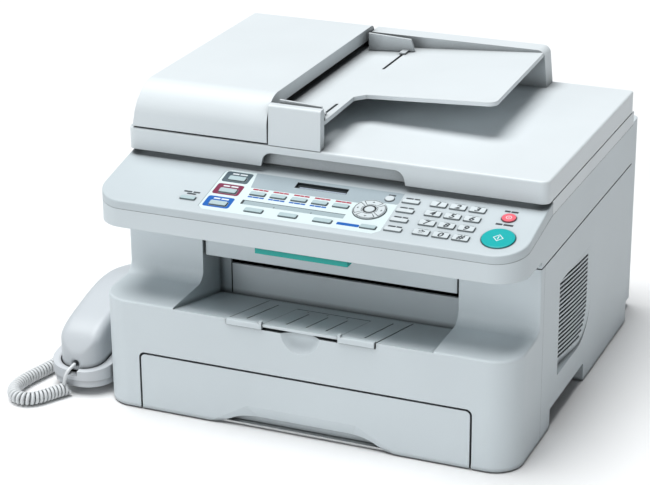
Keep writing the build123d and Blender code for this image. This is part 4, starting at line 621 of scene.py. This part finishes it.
def aroundKey(x, up, width, height, grow, radius=1.2):
    return roundedBox(x - width / 2 - grow, up - height / 2 - grow, x + width / 2 + grow,
                      up + height / 2 + grow, radius + grow / 2)


def boxInside(spot, margins, radius):
    x, up, width, height = spot
    left, low, right, high = margins
    return roundedBox(x - width / 2 + left, up - height / 2 + low, x + width / 2 - right,
                      up + height / 2 - high, radius)


def circleLine(x, up, radius, steps=40):
    turns = [2 * math.pi * k / steps for k in range(steps)]
    return [(x + radius * math.cos(turn), up + radius * math.sin(turn)) for turn in turns]


def addSheet(bm, outlines, top, bottom=-0.06):
    # a thin closed sheet on the panel: its edge first, then its holes
    upper, lower = [], []
    for outline in outlines:
        ups = [bm.verts.new(onPanel(x, y, top)) for x, y in outline]
        downs = [bm.verts.new(onPanel(x, y, bottom)) for x, y in outline]
        for i in range(len(outline)):
            j = (i + 1) % len(outline)
            bm.faces.new((ups[i], ups[j], downs[j], downs[i]))
            upper.append(bm.edges.get((ups[i], ups[j])))
            lower.append(bm.edges.get((downs[i], downs[j])))
    bmesh.ops.triangle_fill(bm, edges=upper, use_beauty=True)
    bmesh.ops.triangle_fill(bm, edges=lower, use_beauty=True)


def panelPiece(name, body, material, sheets):
    bm = bmesh.new()
    for outlines, top, bottom in sheets:
        addSheet(bm, outlines, top, bottom)
    piece = objectFrom(name, bm, False)
    dress(piece, finish[material])
    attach(piece, body)
    return piece


def keyHoles(names, grow):
    holes = []
    for name in names:
        for spot in keyPlan[name]:
            if len(spot) == 4:
                holes.append(aroundKey(*spot, grow))
            else:
                holes.append(circleLine(*spot[:2], spot[2] + grow))
    return holes


def filmOutline(plan):
    # the white film runs up to the band and its slanted end
    left, low, right, high = plan["film"]
    corner, bevel = plan["filmCorners"]
    stepStart, stepEnd, stepRise = plan["bandStep"]
    slantLow, slantHigh = plan["bandSlant"]
    bandLow = plan["bandLow"]
    return [(left + corner, low), (right - bevel, low), (right, low + bevel),
            (right, bandLow + stepRise), (stepEnd, bandLow + stepRise), (stepStart, bandLow),
            (slantLow, bandLow), (slantHigh, high), (left + corner, high), (left, high - corner),
            (left, low + corner)]


def bandOutline(plan):
    # the band round the display keeps a fine seam from the film
    right, high = plan["film"][2:]
    stepStart, stepEnd, stepRise = plan["bandStep"]
    slantLow, slantHigh = plan["bandSlant"]
    seam, wideSeam = plan["bandSeam"]
    low = plan["bandLow"]
    upper = low + stepRise + wideSeam
    return [(slantLow + wideSeam, low + seam), (stepStart - seam, low + seam),
            (stepEnd - seam, upper), (right - plan["bandBevel"], upper),
            (right, upper + plan["bandBevel"]), (right, high), (slantHigh + seam, high)]


def makeFilmAndBand(plan):
    # white film with the keys standing through it, and the band round the display
    gap, foot = plan["keyGap"], plan["foot"]
    x, up, radius = keyPlan["pad"][0]
    holes = [circleLine(x, up, radius + gap)] + keyHoles(["mode", "row", "low", "ok"], gap)
    panelPiece("panelFilm", "top_unit", "filmWhite",
               [([filmOutline(plan)] + holes, 0.05, foot)])
    window = boxInside(plan["display"], plan["displayMargins"]["window"], plan["displayRadius"])
    panelPiece("displayBand", "top_unit", "bandGrey",
               [([bandOutline(plan), window] + keyHoles(["round"], gap), 0.07, foot)])


def makeDisplayWell(plan):
    # the display lies in a well: its walls are lined black, and a dark border, widest at the top
    # and left, is painted on the display as the well's shade
    outside, inside, face = [boxInside(plan["display"], plan["displayMargins"][name],
                                       plan["displayRadius"])
                             for name in ("outside", "inside", "face")]
    deep = plan["displayDeep"]
    panelPiece("displayWellShade", "top_unit", "blackAndPaintedShade",
               [([outside, inside], -0.05, -deep), ([inside, face], 0.25 - deep, 0.02 - deep)])


def makeModeFrames(plan):
    # coloured frames round the three mode keys
    left, right, below, above = plan["modeFrame"]
    for spot, inkName in zip(keyPlan["mode"], ("blueInk", "maroonInk", "slateInk")):
        edge = roundedBox(left, spot[1] - below, right, spot[1] + above, 2.6)
        panelPiece(inkName.replace("Ink", "") + "Frame", "top_unit", inkName,
                   [([edge, aroundKey(*spot, plan["keyGap"] - 0.1)], 0.10, plan["foot"])])


def makeCard(plan):
    # slot for the name card under the row of keys, with painted shade along its left and top edges
    left, low, right, high = plan["card"]
    panelPiece("cardStrip", "top_unit", "stripGrey",
               [([roundedBox(left, low, right, high, 0.8)], 0.12, plan["foot"])])
    # dark strips painted as the slot's shade along its left and top edges, and two small dark ticks
    # at its low edge
    shades = [roundedBox(left, low, left + 2.4, high, 0.6),
              roundedBox(left + 2, high - 0.7, right, high, 0.3)]
    shades += [roundedBox(tick, low, tick + 0.8, low + 2.2, 0.2) for tick in plan["cardTicks"]]
    panelPiece("cardShade", "top_unit", "darkInkAndShade",
               [([shade], 0.16, 0.02) for shade in shades])


def makeOutlines(plan):
    # the left edge of the film, and dark seams round the keys that widen to the right and below as
    # painted shadow
    gap, line, foot = plan["keyGap"], plan["lineWidth"], plan["foot"]
    left, low, right, high = plan["film"]
    lines = [([roundedBox(left - line, low + 4, left, high - 4, 0.2)], 0.09, foot)]
    for name in ("mode", "row", "low", "ok", "column", "quick", "digits"):
        for x, up, width, height in keyPlan[name]:
            # the outer edge is pushed right and down, so the ring is wider there: painted shadow of
            # the key
            outer = aroundKey(x + 0.15, up - 0.15, width, height, gap + line - 0.15)
            lines.append(([outer, aroundKey(x, up, width, height, gap - 0.1)], 0.11, foot))
    for name in ("pad", "round", "start", "stop"):
        for x, up, radius in keyPlan[name]:
            outer = circleLine(x, up, radius + gap + line * 0.8)
            lines.append(([outer, circleLine(x, up, radius + gap - 0.1)], 0.11, foot))
    panelPiece("keySeamsAndShadows", "top_unit", "greyInkAndShade", lines)


def makePanelPrint(plan):
    makeFilmAndBand(plan)
    makeDisplayWell(plan)
    makeModeFrames(plan)
    makeCard(plan)
    makeOutlines(plan)


def petalLine(x, up, inner, outer, middle, half, steps=10):
    # one petal of the direction pad
    points = []
    for radius, turns in ((outer, range(steps + 1)), (inner, range(steps, -1, -1))):
        for k in turns:
            turn = math.radians(middle - half + 2 * half * k / steps)
            points.append((x + radius * math.cos(turn), up + radius * math.sin(turn)))
    return points


def uprightBar(x, up, bar):
    half, below, above = bar
    return roundedBox(x - half, up - below, x + half, up + above, markPlan["barRadius"])


def makeKeyMarks(plan):
    low, high = panelPlan["capRise"] - plan["sink"], panelPlan["capRise"] + plan["rise"]
    x, up, radius = keyPlan["pad"][0]
    middlePoint = Vector((x, up))
    tipPlace, backPlace, halfWidth = plan["arrow"]
    marks = []
    for middle in (0, 90, 180, 270):
        petal = [petalLine(x, up, inner, radius - margin, middle, half)
                 for inner, margin, half in plan["petalEdges"]]
        turn = math.radians(middle)
        along = Vector((math.cos(turn), math.sin(turn)))
        across = Vector((-math.sin(turn), math.cos(turn)))
        point = middlePoint + tipPlace * along
        back = middlePoint + backPlace * along
        arrow = [tuple(point), tuple(back + across * halfWidth), tuple(back - across * halfWidth)]
        marks += [(petal, high, low), ([arrow], high, low)]
    marks.append(([circleLine(x, up, ringRadius) for ringRadius in plan["ring"]], high, low))
    panelPiece("padMarks", "function_keys", "darkInkAndShade", marks)
    x, up = keyPlan["start"][0][:2]
    diamonds = [[(x + wide, up), (x, up + tall), (x - wide, up), (x, up - tall)]
                for wide, tall in plan["diamonds"]]
    panelPiece("startMark", "start_key", "paleInk",
               [(diamonds, high, low), ([uprightBar(x, up, plan["startBar"])], high, low)])
    x, up = keyPlan["stop"][0][:2]
    octagons = [circleLine(x, up, ringRadius, 8) for ringRadius in plan["octagons"]]
    panelPiece("stopMark", "stop_key", "paleInk",
               [(octagons, high, low), ([uprightBar(x, up, plan["stopBar"])], high, low)])


def digitMesh(mark, plan):
    curve = bpy.data.curves.new("digitLine", "FONT")
    curve.body = mark
    curve.size = 1.0
    curve.shear = plan["shear"]
    curve.resolution_u = 3
    curve.extrude = 0.01
    curve.offset = plan["weight"]
    holder = addObject("digitLine", curve)
    bpy.context.view_layer.update()
    layer = bpy.context.evaluated_depsgraph_get()
    mesh = bpy.data.meshes.new_from_object(holder.evaluated_get(layer))
    bpy.data.objects.remove(holder)
    return mesh


def makeDigits(plan):
    for node, mark, spot in zip(plan["nodes"], plan["marks"], keyPlan["digits"]):
        mesh = digitMesh(mark, plan)
        xs = [v.co.x for v in mesh.vertices]
        ys = [v.co.y for v in mesh.vertices]
        scale = plan["height"] / plan["capShare"]
        if mark == "*":
            scale *= plan["starScale"]
        midX, midY = (min(xs) + max(xs)) / 2, (min(ys) + max(ys)) / 2
        top = panelPlan["capRise"]
        for v in mesh.vertices:
            out = top + (plan["thickness"] if v.co.z > 0 else -plan["thickness"])
            x = spot[0] + (v.co.x - midX) * scale * plan["width"]
            v.co = onPanel(x, spot[1] + (v.co.y - midY) * scale, out)
        bm = bmesh.new()
        bm.from_mesh(mesh)
        bmesh.ops.remove_doubles(bm, verts=bm.verts[:], dist=1e-6)
        piece = objectFrom("digit_" + node[4:], bm, False)
        dress(piece, finish["darkInkAndShade"])
        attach(piece, node)


# the lines of small print, as plain dashes: x, up, length of each line
dashPlan = {
    "height": 2.1,
    "thickness": 0.06,
    "redInk": [(spot[0] + shift, spot[1] + 7.2, length) for spot in keyPlan["row"]
               for shift, length in ((-5.0, 5.6), (0.2, 4.0), (5.2, 5.0))],
    "blueInk": [(spot[0] + shift, spot[1] - 5.6, length) for spot in keyPlan["row"][:4]
                for shift, length in ((-5.4, 4.6), (0.4, 6.0), (6.2, 4.6))],
    "paleInk": [(spot[0] + shift, spot[1] + 8.0, length) for spot in keyPlan["mode"]
                for shift, length in ((-4.8, 6.6), (3.4, 7.4))],
    "darkInkAndShade": [(spot[0] + shift, spot[1] + 5.3, length) for spot in keyPlan["column"]
                for shift, length in ((-3.0, 7.0), (4.2, 5.0))]
               + [(-127.0, 31.4, 8.0), (-118.0, 31.4, 6.6), (-122.0, 28.2, 9.0)]
               + [(63.4, 71.2, 7.0)],
}
boldPlan = {"height": 2.5, "thickness": 0.06,
            "darkInkAndShade": [(174.6, 71.6, 5.2), (181.4, 71.6, 6.4), (173.4, 50.0, 6.2),
                        (182.2, 50.0, 9.0)]}
phonePlan = {"height": 1.1, "thickness": 0.06,
             "greyInkAndShade": [(spot[0] + shift, spot[1] + 5.6, length) for spot in keyPlan["digits"]
                         for shift, length in ((-2.6, 4.4), (3.0, 4.0))]}


def dashTree():
    tree = bpy.data.node_groups.new("dashes", "GeometryNodeTree")
    tree.interface.new_socket("Geometry", in_out="INPUT", socket_type="NodeSocketGeometry")
    for name in ("dashHeight", "dashThickness", "dashSlope"):
        tree.interface.new_socket(name, in_out="INPUT", socket_type="NodeSocketFloat")
    tree.interface.new_socket("dashInk", in_out="INPUT", socket_type="NodeSocketMaterial")
    tree.interface.new_socket("Geometry", in_out="OUTPUT", socket_type="NodeSocketGeometry")
    into = tree.nodes.new("NodeGroupInput")
    out = tree.nodes.new("NodeGroupOutput")
    line = tree.nodes.new("GeometryNodeCurvePrimitiveQuadrilateral")
    line.inputs["Width"].default_value = mm
    tree.links.new(into.outputs["dashHeight"], line.inputs["Height"])
    face = tree.nodes.new("GeometryNodeFillCurve")
    tree.links.new(line.outputs["Curve"], face.inputs["Curve"])
    thick = tree.nodes.new("GeometryNodeExtrudeMesh")
    tree.links.new(face.outputs["Mesh"], thick.inputs["Mesh"])
    tree.links.new(into.outputs["dashThickness"], thick.inputs["Offset Scale"])
    spread = tree.nodes.new("GeometryNodeInstanceOnPoints")
    tree.links.new(into.outputs["Geometry"], spread.inputs["Points"])
    tree.links.new(thick.outputs["Mesh"], spread.inputs["Instance"])
    turn = tree.nodes.new("ShaderNodeCombineXYZ")
    tree.links.new(into.outputs["dashSlope"], turn.inputs["X"])
    tree.links.new(turn.outputs["Vector"], spread.inputs["Rotation"])
    length = tree.nodes.new("GeometryNodeInputNamedAttribute")
    length.data_type = "FLOAT"
    length.inputs["Name"].default_value = "dashLength"
    size = tree.nodes.new("ShaderNodeCombineXYZ")
    size.inputs["Y"].default_value = 1.0
    size.inputs["Z"].default_value = 1.0
    tree.links.new(length.outputs["Attribute"], size.inputs["X"])
    tree.links.new(size.outputs["Vector"], spread.inputs["Scale"])
    real = tree.nodes.new("GeometryNodeRealizeInstances")
    tree.links.new(spread.outputs["Instances"], real.inputs["Geometry"])
    paint = tree.nodes.new("GeometryNodeSetMaterial")
    tree.links.new(real.outputs["Geometry"], paint.inputs["Geometry"])
    tree.links.new(into.outputs["dashInk"], paint.inputs["Material"])
    tree.links.new(paint.outputs["Geometry"], out.inputs["Geometry"])
    return tree


def runTree(piece, tree, values):
    # makes the tree's geometry from the piece's points and keeps it as a plain mesh
    modifier = piece.modifiers.new("make", "NODES")
    modifier.node_group = tree
    for item in tree.interface.items_tree:
        if item.item_type == "SOCKET" and item.in_out == "INPUT" and item.name in values:
            modifier[item.identifier] = values[item.name]
    bpy.context.view_layer.update()
    return bakeModifiers(piece)


dashes = dashTree()


def dashPiece(name, body, plan, inkName, out=0.06):
    spots = plan[inkName]
    mesh = bpy.data.meshes.new(name)
    mesh.from_pydata([onPanel(x, up, out) for x, up, length in spots], [], [])
    lengths = mesh.attributes.new("dashLength", "FLOAT", "POINT")
    for item, spot in zip(lengths.data, spots):
        item.value = spot[2]
    piece = runTree(addObject(name, mesh), dashes,
                    {"dashHeight": plan["height"] * mm, "dashThickness": plan["thickness"] * mm,
                     "dashSlope": math.radians(panelPlan["slope"]), "dashInk": finish[inkName]})
    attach(piece, body)
    return piece


def makeOkLabel(plan):
    # blue field beside the confirming key
    left, below, above, gap = plan["okLabel"]
    x, up, width, height = keyPlan["ok"][0]
    panelPiece("okLabel", "top_unit", "blueInk",
               [([roundedBox(left, up - below, x - width / 2 - gap, up + above, 1.0)], 0.1,
                 plan["foot"])])


makePanelPrint(panelPlan)
makeKeyMarks(markPlan)
makeDigits(digitPlan)
dashPiece("redDashes", "top_unit", dashPlan, "redInk")
dashPiece("blueDashes", "top_unit", dashPlan, "blueInk")
dashPiece("paleDashes", "top_unit", dashPlan, "paleInk", 0.11)
dashPiece("darkDashes", "top_unit", dashPlan, "darkInkAndShade")
dashPiece("boldDashes", "top_unit", boldPlan, "darkInkAndShade")
dashPiece("phoneDashes", "top_unit", phonePlan, "greyInkAndShade")
makeOkLabel(panelPlan)
print("panel print made")

# handset: the shell's edges melted into one another
handsetPlan = {
    "grid": 1.4,         # millimetres
    "passes": 16,
    "softness": 0.7,
}


def makeHandset(plan):
    bm = bmesh.new()
    bm.from_mesh(nodes["handset"].data)
    bmesh.ops.remove_doubles(bm, verts=bm.verts[:], dist=1e-6)
    shell = objectFrom("handsetShell", bm)
    grid = shell.modifiers.new("grid", "REMESH")
    grid.mode = "VOXEL"
    grid.voxel_size = plan["grid"] * mm
    grid.use_smooth_shade = True
    melt = shell.modifiers.new("melt", "SMOOTH")
    melt.factor = plan["softness"]
    melt.iterations = plan["passes"]
    bpy.context.view_layer.update()
    bakeModifiers(shell)
    dress(shell, finish["handsetWhite"])
    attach(shell, "handset")
    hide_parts("handset")


makeHandset(handsetPlan)
print("handset made")

# black sheets in the mouths of the document feeder, painted as the shade of the cavities behind
# them, the inlet's sheet partly standing for its black inner guide: low corner and high corner in
# millimetres, and the body
darkPlan = {
    "inletMouth": ((-75.0, -99.0, 282.6), (-74.2, 99.0, 288.4), "lid"),
    "outletMouth": ((-75.9, -112.0, 261.6), (-74.9, 112.0, 274.6), "lid"),
}
mouthEdge = 0.25    # millimetres


def darkSheet(name, low, high, body):
    # a thin black sheet with rounded edges, put where painted shade is wanted
    bm = bmesh.new()
    bmesh.ops.create_cube(bm, size=1.0)
    for v in bm.verts:
        v.co = Vector([(a + b) / 2 + c * (b - a) for a, b, c in zip(low, high, v.co)]) * mm
    bmesh.ops.bevel(bm, geom=bm.edges[:], offset=mouthEdge * mm, segments=2, affect="EDGES")
    piece = objectFrom(name, bm, False)
    dress(piece, finish["blackAndPaintedShade"])
    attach(piece, body)


for name, values in darkPlan.items():
    darkSheet(name, *values)
print("dark mouths made")

dress(curlyCord, finish["cordWhite"])
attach(curlyCord, "base")
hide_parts("cord_tail", "cord_coil")

# lights and floor
studio = {
    "sky": ((0.90, 0.95, 1.0), 0.16),
    "overhead": {"aim": (0.16, 0.02, -0.98), "spread": 40.0, "strength": 3.6,
                 "colour": (0.985, 0.995, 1.0)},
    "frontLeft": {"aim": (0.34, 0.92, -0.20), "spread": 36.0, "strength": 0.98,
                  "colour": (0.95, 0.98, 1.0)},
    "floorRadius": 9.0,
    "floorDrop": 0.0002,
    "floorTones": ((0.80, 0.80, 0.80), (0.82, 0.82, 0.82)),
}


def softLight(name, plan):
    # a broad, even light from one side of the room
    data = bpy.data.lights.new(name, "SUN")
    data.angle = math.radians(plan["spread"])
    data.energy = plan["strength"]
    data.color = plan["colour"]
    holder = bpy.data.objects.new(name, data)
    holder.rotation_euler = Vector(plan["aim"]).to_track_quat("-Z", "Y").to_euler()
    bpy.context.scene.collection.objects.link(holder)


def makeStudio(plan):
    world = bpy.data.worlds.new("studioWorld")
    world.use_nodes = True
    background = world.node_tree.nodes["Background"]
    background.inputs["Color"].default_value = (*plan["sky"][0], 1.0)
    background.inputs["Strength"].default_value = plan["sky"][1]
    bpy.context.scene.world = world
    bpy.context.scene.view_settings.view_transform = "Standard"
    softLight("overhead", plan["overhead"])
    softLight("frontLeft", plan["frontLeft"])
    bm = bmesh.new()
    bmesh.ops.create_circle(bm, cap_ends=True, segments=64, radius=plan["floorRadius"])
    for v in bm.verts:
        v.co.z = -plan["floorDrop"]
    floor = objectFrom("studioFloor", bm, False)
    made, tree, shader, coords = freshMaterial("studioPaper")
    grain = noiseNode(tree, coords, 3.0, 2.0)
    tree.links.new(mixedColour(tree, grain.outputs["Fac"], *plan["floorTones"]),
                   shader.inputs["Base Color"])
    shader.inputs["Roughness"].default_value = 0.9
    shader.inputs["Specular IOR Level"].default_value = 0.1
    dress(floor, made)


makeStudio(studio)
print("studio made")
